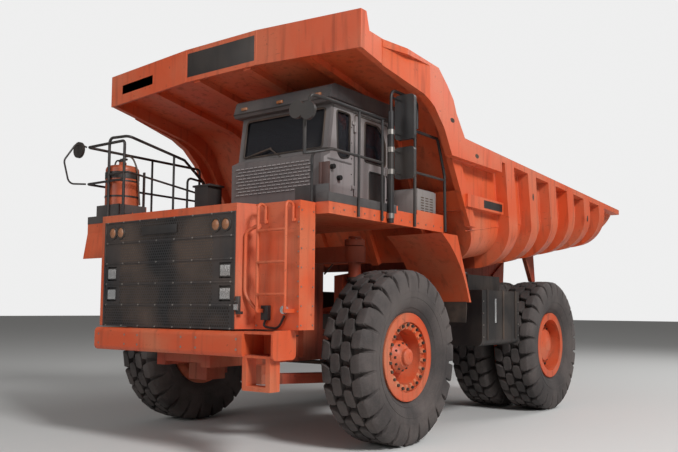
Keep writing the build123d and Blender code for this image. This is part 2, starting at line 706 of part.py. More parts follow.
def floor_plane(y):
    """A plane square to the floor, with sketch axes (across, up from the ribs' lowest faces)."""
    start = Vector(0, front_axle_y + y, under_z(y))
    return Plane(origin=start, x_dir=(1, 0, 0), z_dir=floor_dir * -1)


def behind_tail(mode):
    """Cut away everything past the bed's sloping tail."""
    slab([(tail_y[0] + 300, tail_z[0] + 370), (tail_y[0], tail_z[0]), (tail_y[1], tail_z[1]),
          (tail_y[1] - 300, tail_z[1] - 370), (8600, 2700), (8600, 4000)], -2400, 2400, mode=mode)


def before_wall(mode, depth):
    """Cut away everything ahead of the front wall, to a depth behind its front face."""
    slab([(wall_y(4200, depth), 4200), (wall_y(1900, depth), 1900), (0, 1900), (0, 4200)],
         -2400, 2400, mode=mode)


wall_t = 30
fascia_back = -1220
with BuildPart() as bed_floor:
    with BuildSketch(floor_plane(7600)):
        with BuildLine():
            Line((-flat_x, skin_low), (flat_x, skin_low))
            CenterArc((flat_x, rib_bend), skin_x - flat_x, -90, 90)
            Line((skin_x, rib_bend), (skin_x - skin_t, rib_bend))
            CenterArc((flat_x, rib_bend), skin_x - skin_t - flat_x, 0, -90)
            Line((flat_x, skin_low + skin_t), (-flat_x, skin_low + skin_t))
            CenterArc((-flat_x, rib_bend), skin_x - skin_t - flat_x, 270, -90)
            Line((-skin_x + skin_t, rib_bend), (-skin_x, rib_bend))
            CenterArc((-flat_x, rib_bend), skin_x - flat_x, 180, 90)
        make_face()
    extrude(amount=6600)
    before_wall(Mode.SUBTRACT, wall_t)
    behind_tail(Mode.SUBTRACT)
save(bed_floor, "bed_floor")

with BuildPart() as bed_sides:
    for side in (-1, 1):
        x0, x1 = sorted((side * (skin_x - skin_t), side * skin_x))
        slab([(700, rim_line(700)), (rim_y[1], rim_z[1]), (rim_y[1], weld_z(rim_y[1])),
              (1200, weld_z(1200))], x0, x1)
    before_wall(Mode.SUBTRACT, wall_t)
    behind_tail(Mode.SUBTRACT)
save(bed_sides, "bed_sides")

fold_split = 3900
with BuildPart() as bed_front_wall:
    folded_plate(-skin_x, skin_x, 0, wall_t)
    block(-2400, 2400, -1500, 2000, fold_split, 5200, mode=Mode.SUBTRACT)
    with BuildSketch(floor_plane(3000)):
        with BuildLine():
            Line((-flat_x, skin_low), (flat_x, skin_low))
            CenterArc((flat_x, rib_bend), skin_x - flat_x, -90, 90)
            Polyline((skin_x, rib_bend), (skin_x, 2500), (-skin_x, 2500), (-skin_x, rib_bend))
            CenterArc((-flat_x, rib_bend), skin_x - flat_x, 180, 90)
        make_face()
    extrude(amount=3000, mode=Mode.INTERSECT)
    slab([(wall_y(2975, 5), 2975), (wall_y(2975, -110), 2975), (wall_y(3220, -110), 3220),
          (wall_y(3220, 5), 3220)], -skin_x, skin_x)
save(bed_front_wall, "bed_front_wall")

fascia = [(-2200, 4490), (-629, 4580), (629, 4580), (2200, 4490), (2200, 4925), (629, 5014),
          (-629, 5014), (-2200, 4925)]
with BuildPart() as canopy:
    folded_plate(-skin_x, skin_x, 0, wall_t)
    block(-2400, 2400, -1500, 2000, 2000, fold_split, mode=Mode.SUBTRACT)
    with BuildSketch(front_plane(fascia_back)):
        with BuildLine():
            Polyline(*fascia, close=True)
        make_face()
    extrude(amount=fascia_back - canopy_front)
save(canopy, "canopy")

beam_xs = (-1350, -450, 450, 1350)
with BuildPart() as canopy_beams:
    for x in beam_xs:
        folded_plate(x - 60, x + 60, -80, 0)
    slab([(wall_y(2975), 2975), (wall_y(2975, -110), 2975), (wall_y(3220, -110), 3220),
          (wall_y(3220), 3220)], -2400, 2400, mode=Mode.SUBTRACT)
    block(-2400, 2400, -1400, fascia_back, 4000, 5000, mode=Mode.SUBTRACT)
save(canopy_beams, "canopy_beams")

cheek_low = 2760
with BuildPart() as bed_shoulders:
    for side in (-1, 1):
        x0, x1 = sorted((side * skin_x, side * 2200))
        with BuildSketch(side_plane(x0)):
            with BuildLine():
                Line((fascia_back, 4490), (100, 4225))
                ThreePointArc((100, 4225), (520, 3985), (800, 3560))
                Polyline((800, 3560), (wall_y(cheek_low, -110), cheek_low),
                         (wall_y(cheek_low, 60), cheek_low), (wall_y(3600, 60), 3600),
                         (2070, 3600), (2070, rim_line(2070)), (960, 3880), (730, 4160), (650, 4320),
                         (480, 4480), (270, 4640), (-1090, 4720), (-1150, 4925), (fascia_back, 4925),
                         (fascia_back, 4490))
            make_face()
        extrude(amount=x1 - x0)
        x0, x1 = sorted((side * 2200, side * bed_x))
        slab([(-836, 4700), (270, 4640), (480, 4480), (650, 4320), (730, 4160), (960, 3880),
              (2070, rim_line(2070)), (2070, 3600), (610, 3600), (410, 3910), (170, 4130),
              (-70, 4240), (-836, 4400)], x0, x1)
        corner = side * bed_x
        sheet([(side * 2200, -860), (corner, -860), (corner, 60)], 4100, 4612, mode=Mode.SUBTRACT)
        sheet([(side * 2200, -860), (corner, -860), (corner, -457)], 4600, 4800, mode=Mode.SUBTRACT)
        bar = sorted((side * skin_x, side * 2240))
        block(bar[0], bar[1], 1150, 2240, 3010, 3180)
save(bed_shoulders, "bed_shoulders")

rib_w = 300
rib_first, rib_pitch, rib_count = 2387, 789, 6
rim_h = 90
with BuildPart() as bed_ribs:
    for side in (-1, 1):
        for rib in range(rib_count):
            with BuildSketch(floor_plane(rib_first + rib * rib_pitch + rib_w)):
                with BuildLine():
                    Line((side * flat_x, 0), (side * flat_x, skin_low))
                    start = -90 if side > 0 else 270
                    CenterArc((side * flat_x, rib_bend), skin_x - flat_x, start, side * 90)
                    Polyline((side * skin_x, rib_bend), (side * skin_x, 1900), (side * bed_x, 1900),
                             (side * bed_x, rib_bend))
                    CenterArc((side * flat_x, rib_bend), bed_x - flat_x, start, side * 90)
                make_face()
            extrude(amount=rib_w)
    slab([(0, rim_line(0)), (9000, rim_line(9000)), (9000, 6500), (0, 6500)], -2400, 2400,
         mode=Mode.SUBTRACT)
    for side in (-1, 1):
        x0, x1 = sorted((side * skin_x, side * bed_x))
        slab([(2072, rim_line(2072)), (rim_y[1], rim_z[1]), (rim_y[1], rim_z[1] - rim_h),
              (2072, rim_line(2072) - rim_h)], x0, x1)
    behind_tail(Mode.SUBTRACT)
save(bed_ribs, "bed_ribs")

beam_in, beam_out = 310, 470
rail_slope = (rail_top[3][1] - rail_top[2][1]) / (rail_top[3][0] - rail_top[2][0])


def above_rail(y, gap=6):
    """Height just over the frame rails' sloping top."""
    return rail_top[2][1] + rail_slope * (y - rail_top[2][0]) + gap


with BuildPart() as bed_underframe:
    for rib in range(rib_count):
        with BuildSketch(floor_plane(rib_first + rib * rib_pitch + rib_w)):
            with Locations((0, skin_low / 2)):
                Rectangle(2 * flat_x - 2, skin_low)
        extrude(amount=rib_w)
    for side in (-1, 1):
        x0, x1 = sorted((side * beam_in, side * beam_out))
        slab([(1760, above_rail(1760)), (5500, above_rail(5500)), (5960, 2600), (5960, under_z(5960)),
              (1760, under_z(1760))], x0, x1)
        lug = sorted((side * 470, side * 510))
        slab([(5450, 2300), (5690, 1800), (5870, 1800), (5940, 2580)], lug[0], lug[1])
        rod(lug[0], lug[1], pivot_y, pivot_z, 110)
        rod(lug[0], lug[1], pivot_y, pivot_z, pivot_r + 0.5, mode=Mode.SUBTRACT)
        block(*sorted((side * 470, side * 720)), 3000, 3165, 2350, 2345 + 80)
        for low, high in ((500, 530), (670, 700)):
            x0, x1 = sorted((side * low, side * high))
            slab([(3020, 2400), (3060, 2230), (3240, 2230), (3165, 2400)], x0, x1)
            rod(x0, x1, hoist_high[0], hoist_high[1], 80)
    for side in (-1, 1):
        x0, x1 = sorted((side * 1400, side * 1470))
        slab([(4740, under_z(4740)), (5110, under_z(5110)), (5190, 2150), (5050, 2150)], x0, x1)
        x0, x1 = sorted((side * 1415, side * 1455))
        slab([(5060, 2200), (5180, 2200), (5120, 1700), (5060, 1700)], x0, x1)
save(bed_underframe, "bed_underframe")

# ---- hoist cylinders, each a barrel, a middle stage and a rod -------------------------------
hoist_len = math.hypot(hoist_high[0] - hoist_low[0], hoist_high[1] - hoist_low[1])
barrel_end, stage_end = 1330, 1362


def along_hoist(side, r, start, end, mode=Mode.ADD):
    """A round bar on a hoist cylinder's centre line."""
    strut(*hoist_low, *hoist_high, side * hoist_x, r, start, end, mode=mode)


for name, side in sides:
    eye = sorted((side * (hoist_x - 45), side * (hoist_x + 45)))
    with BuildPart() as hoist_barrel:
        along_hoist(side, 110, 75, barrel_end)
        along_hoist(side, 122, barrel_end - 70, barrel_end)
        along_hoist(side, 91, 125, barrel_end, mode=Mode.SUBTRACT)
        rod(eye[0], eye[1], hoist_low[0], hoist_low[1], 105)
        rod(eye[0], eye[1], hoist_low[0], hoist_low[1], 60.5, mode=Mode.SUBTRACT)
    save(hoist_barrel, f"hoist_barrel_{name}")
    with BuildPart() as hoist_stage:
        along_hoist(side, 89, 140, stage_end)
        along_hoist(side, 66, 140, stage_end, mode=Mode.SUBTRACT)
    save(hoist_stage, f"hoist_stage_{name}")
    with BuildPart() as hoist_rod:
        along_hoist(side, 64, 160, hoist_len - 30)
        rod(eye[0], eye[1], hoist_high[0], hoist_high[1], 62)
    save(hoist_rod, f"hoist_rod_{name}")
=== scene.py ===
"""Looks for a rigid mining dump truck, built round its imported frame.

Each part of the truck that gets trim is a class with a ``dress`` method. Finishes are small frozen
classes that build their own material from shared node groups. Repeated things such as bolts, tread
blocks, grille holes and louvres are placed by geometry nodes and baked.
"""
from __future__ import annotations

import logging
import math
from dataclasses import dataclass, field
from enum import Enum
from typing import Iterable, Sequence

import bmesh
import bpy
from mathutils import Matrix, Vector

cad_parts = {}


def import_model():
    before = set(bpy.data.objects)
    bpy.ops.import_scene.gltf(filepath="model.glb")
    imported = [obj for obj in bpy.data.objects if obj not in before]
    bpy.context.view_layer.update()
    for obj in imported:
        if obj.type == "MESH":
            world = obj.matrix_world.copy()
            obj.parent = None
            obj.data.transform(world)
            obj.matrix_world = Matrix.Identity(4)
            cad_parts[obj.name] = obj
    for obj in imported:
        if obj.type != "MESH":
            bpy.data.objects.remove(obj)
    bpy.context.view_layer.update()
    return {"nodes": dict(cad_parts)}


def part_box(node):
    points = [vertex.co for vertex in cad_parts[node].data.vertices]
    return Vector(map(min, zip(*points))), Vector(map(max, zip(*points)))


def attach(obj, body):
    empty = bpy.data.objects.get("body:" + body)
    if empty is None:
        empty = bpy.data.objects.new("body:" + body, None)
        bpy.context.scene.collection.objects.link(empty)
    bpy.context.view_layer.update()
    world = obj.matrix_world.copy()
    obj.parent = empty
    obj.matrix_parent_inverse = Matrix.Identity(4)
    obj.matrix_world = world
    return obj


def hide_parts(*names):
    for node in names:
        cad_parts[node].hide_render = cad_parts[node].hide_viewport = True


log = logging.getLogger("dump_truck")
Point = Sequence[float]
Colour = tuple[float, float, float]


class Side(Enum):
    """Which side of the truck a piece is on; the value is the sign of its X."""

    LEFT = 1
    RIGHT = -1

    @property
    def word(self) -> str:
        """The side's name as body and node names spell it."""
        return self.name.lower()


# ---------------------------------------------------------------- node building
class Graph:
    """A short way to add and join nodes in one tree."""

    def __init__(self, tree: bpy.types.NodeTree) -> None:
        self.tree = tree

    def node(self, kind: str, **settings: object) -> bpy.types.Node:
        """Add a node and set its properties.

        Args:
            kind: the node's type name.
            settings: properties to set on it.

        Returns:
            The new node.
        """
        made = self.tree.nodes.new(kind)
        for key, value in settings.items():
            setattr(made, key, value)
        return made

    def feed(self, socket: bpy.types.NodeSocket, value: object) -> None:
        """Join a socket to another one, or set its constant value."""
        if isinstance(value, bpy.types.NodeSocket):
            self.tree.links.new(value, socket)
        else:
            socket.default_value = value

    def math(self, kind: str, a: object, b: object = 0.0, clamp: bool = False) -> bpy.types.NodeSocket:
        """One arithmetic step on two values."""
        made = self.node("ShaderNodeMath", operation=kind, use_clamp=clamp)
        self.feed(made.inputs[0], a)
        self.feed(made.inputs[1], b)
        return made.outputs[0]

    def noise(self, vector: object, scale: float, detail: float = 3.0, twist: float = 0.0,
              stretch: Point = (1, 1, 1)) -> bpy.types.NodeSocket:
        """Fractal noise over a stretched vector, from 0 to 1."""
        mapping = self.node("ShaderNodeMapping")
        mapping.inputs["Scale"].default_value = stretch
        self.feed(mapping.inputs["Vector"], vector)
        made = self.node("ShaderNodeTexNoise")
        made.inputs["Scale"].default_value = scale
        made.inputs["Detail"].default_value = detail
        made.inputs["Distortion"].default_value = twist
        self.feed(made.inputs["Vector"], mapping.outputs[0])
        return made.outputs["Fac"]

    def ramp(self, value: object, low: float, high: float) -> bpy.types.NodeSocket:
        """A smooth step from 0 at low to 1 at high."""
        made = self.node("ShaderNodeMapRange", interpolation_type="SMOOTHSTEP")
        self.feed(made.inputs["Value"], value)
        made.inputs["From Min"].default_value = low
        made.inputs["From Max"].default_value = high
        return made.outputs[0]

    def mix(self, factor: object, a: object, b: object) -> bpy.types.NodeSocket:
        """Blend two colours."""
        made = self.node("ShaderNodeMix", data_type="RGBA")
        self.feed(made.inputs[0], factor)
        self.feed(made.inputs[6], a)
        self.feed(made.inputs[7], b)
        return made.outputs[2]


def shader_group(name: str, inputs: Iterable[tuple[str, str]], outputs: Iterable[tuple[str, str]]) -> Graph:
    """Start a shader node group with named sockets.

    Args:
        name: the group's name.
        inputs: socket names with their types.
        outputs: the same, for what it gives.

    Returns:
        The graph of the new group.
    """
    tree = bpy.data.node_groups.new(name, "ShaderNodeTree")
    for label, kind in inputs:
        tree.interface.new_socket(name=label, in_out="INPUT", socket_type=f"NodeSocket{kind}")
    for label, kind in outputs:
        tree.interface.new_socket(name=label, in_out="OUTPUT", socket_type=f"NodeSocket{kind}")
    return Graph(tree)


def weathering_group() -> bpy.types.NodeTree:
    """Paint that has worked outdoors: patches, run marks, dust low down and scratches to bare metal."""
    graph = shader_group("weathering", [("Vector", "Vector"), ("Paint", "Color"), ("Dirt Colour", "Color"),
                                        ("Dust Colour", "Color"), ("Dirt", "Float"), ("Dust", "Float"),
                                        ("Wear", "Float")],
                         [("Colour", "Color"), ("Roughness", "Float"), ("Height", "Float")])
    given = graph.node("NodeGroupInput").outputs
    given = {socket.name: socket for socket in given}
    place = given["Vector"]
    patch = graph.noise(place, 1.4, 6.0, 0.3)
    run = graph.noise(place, 2.4, 4.0, 0.2, (4.5, 4.5, 0.35))
    fine = graph.noise(place, 46.0, 3.0)
    scratch = graph.noise(place, 5.0, 9.0, 1.4, (2.0, 7.0, 16.0))
    chips = graph.noise(place, 13.0, 8.0, 0.4)
    parts = graph.node("ShaderNodeSeparateXYZ")
    graph.feed(parts.inputs[0], place)
    low = graph.node("ShaderNodeMapRange")
    graph.feed(low.inputs["Value"], parts.outputs[2])
    low.inputs["From Min"].default_value, low.inputs["From Max"].default_value = 0.2, 3.4
    low.inputs["To Min"].default_value, low.inputs["To Max"].default_value = 1.0, 0.25
    shade = graph.mix(graph.ramp(patch, 0.35, 0.7), given["Paint"], graph.mix(0.22, given["Paint"],
                                                                             given["Dust Colour"]))
    runs = graph.math("MULTIPLY", graph.ramp(run, 0.5, 0.74), given["Dirt"], True)
    shade = graph.mix(graph.math("MULTIPLY", runs, 0.75), shade, given["Dirt Colour"])
    dusty = graph.math("MULTIPLY", graph.ramp(graph.math("ADD", patch, graph.math("MULTIPLY", fine, 0.3)),
                                              0.45, 0.85), low.outputs[0])
    dusty = graph.math("MULTIPLY", dusty, given["Dust"], True)
    shade = graph.mix(dusty, shade, given["Dust Colour"])
    worn = graph.math("MULTIPLY", graph.ramp(scratch, 0.63, 0.69), graph.ramp(patch, 0.42, 0.6))
    worn = graph.math("MAXIMUM", worn, graph.ramp(chips, 0.68, 0.72))
    worn = graph.math("MULTIPLY", worn, given["Wear"], True)
    shade = graph.mix(graph.math("MULTIPLY", worn, 0.8), shade, given["Dirt Colour"])
    rough = graph.math("ADD", graph.math("MULTIPLY", dusty, 0.5), graph.math("MULTIPLY", runs, 0.25))
    height = graph.math("SUBTRACT", graph.math("MULTIPLY", fine, 0.35), worn)
    done = graph.node("NodeGroupOutput")
    graph.feed(done.inputs["Colour"], shade)
    graph.feed(done.inputs["Roughness"], rough)
    graph.feed(done.inputs["Height"], height)
    return graph.tree


def weave_group() -> bpy.types.NodeTree:
    """A plain weave, as a shade and a height, for the seat's cloth."""
    graph = shader_group("weave", [("Vector", "Vector"), ("Count", "Float")],
                         [("Shade", "Float"), ("Height", "Float")])
    given = graph.node("NodeGroupInput").outputs
    scaled = graph.node("ShaderNodeVectorMath", operation="SCALE")
    graph.feed(scaled.inputs[0], given[0])
    graph.feed(scaled.inputs["Scale"], given[1])
    parts = graph.node("ShaderNodeSeparateXYZ")
    graph.feed(parts.inputs[0], scaled.outputs[0])
    across = graph.math("SINE", parts.outputs[0])
    along = graph.math("SINE", graph.math("ADD", parts.outputs[1], parts.outputs[2]))
    height = graph.math("MULTIPLY", graph.math("MULTIPLY", across, along), 0.5)
    done = graph.node("NodeGroupOutput")
    graph.feed(done.inputs["Shade"], graph.ramp(height, -0.5, 0.5))
    graph.feed(done.inputs["Height"], height)
    return graph.tree


class Groups:
    """The shared node groups, each built once."""

    weathering: bpy.types.NodeTree
    weave: bpy.types.NodeTree

    @classmethod
    def build(cls) -> None:
        """Build every shader group."""
        cls.weathering = weathering_group()
        cls.weave = weave_group()


@dataclass(frozen=True)
class Finish:
    """A weathered surface: paint, casting, rubber or plastic."""

    name: str
    colour: Colour
    dirt_colour: Colour = (0.07, 0.035, 0.02)
    dust_colour: Colour = (0.52, 0.34, 0.24)
    dirt: float = 0.6
    dust: float = 0.5
    wear: float = 0.5
    roughness: float = 0.42
    metallic: float = 0.0
    relief: float = 0.25

    def material(self) -> bpy.types.Material:
        """Build the material, or give the one already built."""
        found = bpy.data.materials.get(self.name)
        if found:
            return found
        made = bpy.data.materials.new(self.name)
        made.use_nodes = True
        graph = Graph(made.node_tree)
        shader = made.node_tree.nodes["Principled BSDF"]
        coords = graph.node("ShaderNodeTexCoord")
        group = graph.node("ShaderNodeGroup", node_tree=Groups.weathering)
        graph.feed(group.inputs["Vector"], coords.outputs["Object"])
        group.inputs["Paint"].default_value = (*self.colour, 1)
        group.inputs["Dirt Colour"].default_value = (*self.dirt_colour, 1)
        group.inputs["Dust Colour"].default_value = (*self.dust_colour, 1)
        group.inputs["Dirt"].default_value = self.dirt
        group.inputs["Dust"].default_value = self.dust
        group.inputs["Wear"].default_value = self.wear
        graph.feed(shader.inputs["Base Color"], group.outputs["Colour"])
        graph.feed(shader.inputs["Roughness"],
                   graph.math("ADD", group.outputs["Roughness"], self.roughness, True))
        shader.inputs["Metallic"].default_value = self.metallic
        bump = graph.node("ShaderNodeBump")
        bump.inputs["Strength"].default_value = self.relief
        bump.inputs["Distance"].default_value = 0.004
        graph.feed(bump.inputs["Height"], group.outputs["Height"])
        graph.feed(shader.inputs["Normal"], bump.outputs[0])
        return made


@dataclass(frozen=True)
class Pane:
    """Window glass, or a lamp's clear cover."""

    name: str
    colour: Colour
    alpha: float

    def material(self) -> bpy.types.Material:
        """Build the material, or give the one already built."""
        found = bpy.data.materials.get(self.name)
        if found:
            return found
        made = bpy.data.materials.new(self.name)
        made.use_nodes = True
        graph = Graph(made.node_tree)
        shader = made.node_tree.nodes["Principled BSDF"]
        coords = graph.node("ShaderNodeTexCoord")
        smear = graph.ramp(graph.noise(coords.outputs["Object"], 1.3, 2.0, 0.5), 0.45, 0.95)
        graph.feed(shader.inputs["Base Color"], graph.mix(smear, (*self.colour, 1), (0.10, 0.09, 0.085, 1)))
        graph.feed(shader.inputs["Roughness"], graph.math("ADD", graph.math("MULTIPLY", smear, 0.2), 0.06))
        graph.feed(shader.inputs["Alpha"], graph.math("ADD", graph.math("MULTIPLY", smear, 0.15), self.alpha))
        return made


@dataclass(frozen=True)
class Cloth:
    """Woven seat cloth."""

    name: str
    colour: Colour
    pale: Colour

    def material(self) -> bpy.types.Material:
        """Build the material, or give the one already built."""
        found = bpy.data.materials.get(self.name)
        if found:
            return found
        made = bpy.data.materials.new(self.name)
        made.use_nodes = True
        graph = Graph(made.node_tree)
        shader = made.node_tree.nodes["Principled BSDF"]
        coords = graph.node("ShaderNodeTexCoord")
        group = graph.node("ShaderNodeGroup", node_tree=Groups.weave)
        graph.feed(group.inputs["Vector"], coords.outputs["Object"])
        group.inputs["Count"].default_value = 1600.0
        graph.feed(shader.inputs["Base Color"], graph.mix(group.outputs["Shade"], (*self.colour, 1),
                                                          (*self.pale, 1)))
        shader.inputs["Roughness"].default_value = 0.9
        bump = graph.node("ShaderNodeBump")
        bump.inputs["Strength"].default_value = 0.3
        bump.inputs["Distance"].default_value = 0.001
        graph.feed(bump.inputs["Height"], group.outputs["Height"])
        graph.feed(shader.inputs["Normal"], bump.outputs[0])
        return made


ORANGE = Finish("orange_paint", (0.64, 0.088, 0.024), (0.10, 0.022, 0.010), (0.50, 0.24, 0.13), 0.40, 0.34, 0.45)
BED_ORANGE = Finish("bed_orange", (0.66, 0.094, 0.026), (0.10, 0.022, 0.010), (0.54, 0.26, 0.15), 0.5, 0.42, 0.55,
                    0.45)
# A darker copy of the orange for the frame, suspension, strut collars, step grip and bed underframe: partly their
# dirt, partly painted shade where they sit under the truck.
DIRT_AND_SHADE_ORANGE = Finish("dirt_and_shade_orange", (0.34, 0.040, 0.012), (0.05, 0.012, 0.007), (0.34, 0.17, 0.10), 0.8, 0.4, 0.5,
                      0.55)
CAB_GREY = Finish("cab_grey", (0.125, 0.112, 0.112), (0.04, 0.035, 0.033), (0.26, 0.22, 0.20), 0.35, 0.35, 0.2)
# A lighter copy of the cab grey for the side walls, door and louvre blades: painted light where the key light falls
# on them.
LIT_CAB_GREY = Finish("sunlit_cab_grey", (0.27, 0.245, 0.245), (0.09, 0.08, 0.075), (0.34, 0.30, 0.27), 0.3, 0.3, 0.2)
DOOR_GREY = Finish("cabinet_grey", (0.23, 0.215, 0.215), (0.05, 0.045, 0.04), (0.30, 0.26, 0.22), 0.4, 0.4, 0.2)
ROOF_GREY = Finish("roof_grey", (0.055, 0.050, 0.051), (0.02, 0.02, 0.02), (0.20, 0.17, 0.15), 0.35, 0.35, 0.2)
BLACK = Finish("black_paint", (0.016, 0.015, 0.016), (0.03, 0.02, 0.015), (0.13, 0.10, 0.08), 0.4, 0.3, 0.3)
TANK = Finish("tank_black", (0.012, 0.010, 0.010), (0.005, 0.004, 0.004), (0.10, 0.075, 0.06), 0.5, 0.35, 0.3)
MESH_PLATE = Finish("grille_black", (0.026, 0.025, 0.027), (0.05, 0.025, 0.016), (0.15, 0.10, 0.075), 0.4, 0.3, 0.4)
# Near-black for holes, slots and louvre gaps: painted shade on thin shapes laid on the surface in place of real
# openings.
PAINTED_HOLE_SHADE = Finish("painted_hole_shade", (0.003, 0.003, 0.003), dirt=0.0, dust=0.0, wear=0.0, roughness=0.9)
IRON = Finish("greasy_iron", (0.040, 0.031, 0.028), (0.015, 0.011, 0.009), (0.20, 0.14, 0.10), 0.7, 0.5, 0.3,
              0.55, 0.4)
STEEL = Finish("worn_steel", (0.36, 0.34, 0.32), (0.10, 0.06, 0.04), (0.40, 0.32, 0.26), 0.4, 0.3, 0.3, 0.38, 0.9)
CHROME = Finish("polished_rod", (0.70, 0.70, 0.71), dirt=0.1, dust=0.1, wear=0.0, roughness=0.12, metallic=1.0)
RUBBER = Finish("tyre_rubber", (0.040, 0.034, 0.033), (0.014, 0.012, 0.012), (0.17, 0.142, 0.132), 0.4, 0.50, 0.15,
                0.74, 0.0, 0.5)
SEAL = Finish("black_seal", (0.010, 0.010, 0.010), dirt=0.0, dust=0.0, wear=0.0, roughness=0.6)
RIM = Finish("rim_orange", (0.62, 0.082, 0.022), (0.10, 0.022, 0.010), (0.52, 0.26, 0.15), 0.6, 0.45, 0.4)
# A lighter copy of the rim orange for the clamp wedges: painted highlight on their raised faces.
LIT_CLAMP_ORANGE = Finish("sunlit_clamp_orange", (0.66, 0.17, 0.07), (0.10, 0.03, 0.015), (0.55, 0.32, 0.20), 0.5, 0.6, 0.4)
AMBER = Finish("amber_lens", (0.30, 0.10, 0.03), dirt=0.1, dust=0.2, wear=0.0, roughness=0.2)
SILVER = Finish("lamp_silver", (0.62, 0.62, 0.62), dirt=0.1, dust=0.1, wear=0.0, roughness=0.25, metallic=0.7)
MIRROR = Finish("mirror_face", (0.80, 0.82, 0.84), dirt=0.0, dust=0.12, wear=0.0, roughness=0.05, metallic=1.0)
RED = Finish("bottle_orange", (0.50, 0.085, 0.028), (0.10, 0.022, 0.010), (0.40, 0.20, 0.12), 0.5, 0.3, 0.3, 0.35)
TRIM = Finish("cabin_plastic", (0.030, 0.030, 0.032), dirt=0.2, dust=0.2, wear=0.1, roughness=0.6)
BROWN = Finish("rusty_brown", (0.085, 0.040, 0.033), (0.03, 0.015, 0.012), (0.20, 0.13, 0.10), 0.5, 0.4, 0.4)
WINDOW = Pane("window_glass", (0.018, 0.018, 0.022), 0.80)
SEAT = Cloth("seat_cloth", (0.020, 0.020, 0.026), (0.060, 0.060, 0.070))


# ---------------------------------------------------------------- mesh building
def rounded(points: Sequence[Point], bend: float, steps: int = 5) -> list[Vector]:
    """Round the corners of an open line.

    Args:
        points: the corners.
        bend: how far from each corner its curve starts.
        steps: pieces in each curve.

    Returns:
        The smoothed line's points.
    """
    line = [Vector(p) for p in points]
    out = [line[0]]
    for before, corner, after in zip(line, line[1:], line[2:]):
        reach_in = min(bend, (corner - before).length / 2)
        reach_out = min(bend, (after - corner).length / 2)
        start = corner + (before - corner).normalized() * reach_in
        end = corner + (after - corner).normalized() * reach_out
        for step in range(steps + 1):
            t = step / steps
            out.append(start * (1 - t) ** 2 + corner * 2 * t * (1 - t) + end * t ** 2)
    out.append(line[-1])
    return out


class Shape:
    """Collects solids in one mesh and turns them into a finished piece."""

    def __init__(self) -> None:
        self.mesh = bmesh.new()

    def loft(self, rings: Sequence[Sequence[Point]], closed_ends: bool = True, loop: bool = False) -> "Shape":
        """Skin a run of rings that all have the same number of points."""
        made = [[self.mesh.verts.new(p) for p in ring] for ring in rings]
        count = len(made[0])
        pairs = list(zip(made, made[1:])) + ([(made[-1], made[0])] if loop else [])
        for a, b in pairs:
            for i in range(count):
                j = (i + 1) % count
                self.mesh.faces.new((a[i], a[j], b[j], b[i]))
        if closed_ends and not loop:
            self.mesh.faces.new(list(reversed(made[0])))
            self.mesh.faces.new(made[-1])
        return self

    def box(self, low: Point, high: Point) -> "Shape":
        """A box between two corners."""
        (x0, x1), (y0, y1) = sorted((low[0], high[0])), sorted((low[1], high[1]))
        rings = [[(x0, y0, z), (x1, y0, z), (x1, y1, z), (x0, y1, z)] for z in (low[2], high[2])]
        return self.loft(rings)

    def prism(self, outline: Sequence[Point], offset: Point) -> "Shape":
        """A flat outline pushed along an offset."""
        shift = Vector(offset)
        return self.loft([[Vector(p) for p in outline], [Vector(p) + shift for p in outline]])

    def tube(self, points: Sequence[Point], radius: float, bend: float = 0.0, sides: int = 10) -> "Shape":
        """A round bar along a line, with rounded corners."""
        line = rounded(points, bend) if bend and len(points) > 2 else [Vector(p) for p in points]
        axis = (line[1] - line[0]).normalized()
        guide = axis.orthogonal().normalized()
        rings = []
        for index, point in enumerate(line):
            ahead = line[min(index + 1, len(line) - 1)] - line[max(index - 1, 0)]
            turn = axis.rotation_difference(ahead.normalized())
            guide, axis = (turn @ guide).normalized(), ahead.normalized()
            other = axis.cross(guide)
            rings.append([point + (guide * math.cos(a) + other * math.sin(a)) * radius
                          for a in (math.tau * k / sides for k in range(sides))])
        return self.loft(rings)

    def turned(self, profile: Sequence[tuple[float, float]], centre: Point, sides: int = 48,
               axis: str = "X") -> "Shape":
        """A closed (radius, along) outline turned about an axis through centre."""
        rings = []
        for k in range(sides):
            a = math.tau * k / sides
            ring = []
            for radius, along in profile:
                c, s = radius * math.cos(a), radius * math.sin(a)
                spot = {"X": (along, c, s), "Y": (s, along, c), "Z": (c, s, along)}[axis]
                ring.append(Vector(centre) + Vector(spot))
            rings.append(ring)
        return self.loft(rings, loop=True)

    def done(self, name: str, finish: Finish | Pane | Cloth, slot: str, body: str, bevel: float = 0.0,
             replaces: Sequence[str] = ()) -> bpy.types.Object:
        """Make the piece, give it its material and let it ride on a body.

        Args:
            name: the piece's name.
            finish: what it is made of.
            slot: not used.
            body: the body it moves with.
            bevel: width of its softened edges.
            replaces: the nodes it stands for.

        Returns:
            The new object.
        """
        bmesh.ops.recalc_face_normals(self.mesh, faces=self.mesh.faces)
        if bevel:
            sharp = [e for e in self.mesh.edges if len(e.link_faces) == 2 and e.calc_face_angle(0) > 0.6]
            bmesh.ops.bevel(self.mesh, geom=sharp, offset=bevel, segments=2, affect="EDGES", profile=0.6,
                            clamp_overlap=True)
        data = bpy.data.meshes.new(name)
        self.mesh.to_mesh(data)
        self.mesh.free()
        return settle(name, data, finish, body, replaces)


def settle(name: str, data: bpy.types.Mesh, finish: Finish | Pane | Cloth, body: str,
           replaces: Sequence[str] = ()) -> bpy.types.Object:
    """Put a finished mesh in the scene as a piece that rides on a body."""
    data.materials.clear()
    data.materials.append(finish.material())
    data.shade_smooth()
    data.set_sharp_from_angle(angle=math.radians(32))
    piece = bpy.data.objects.new(name, data)
    bpy.context.scene.collection.objects.link(piece)
    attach(piece, body)
    if replaces:
        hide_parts(*replaces)
    log.info("%s: %d faces on %s", name, len(data.polygons), body)
    return piece


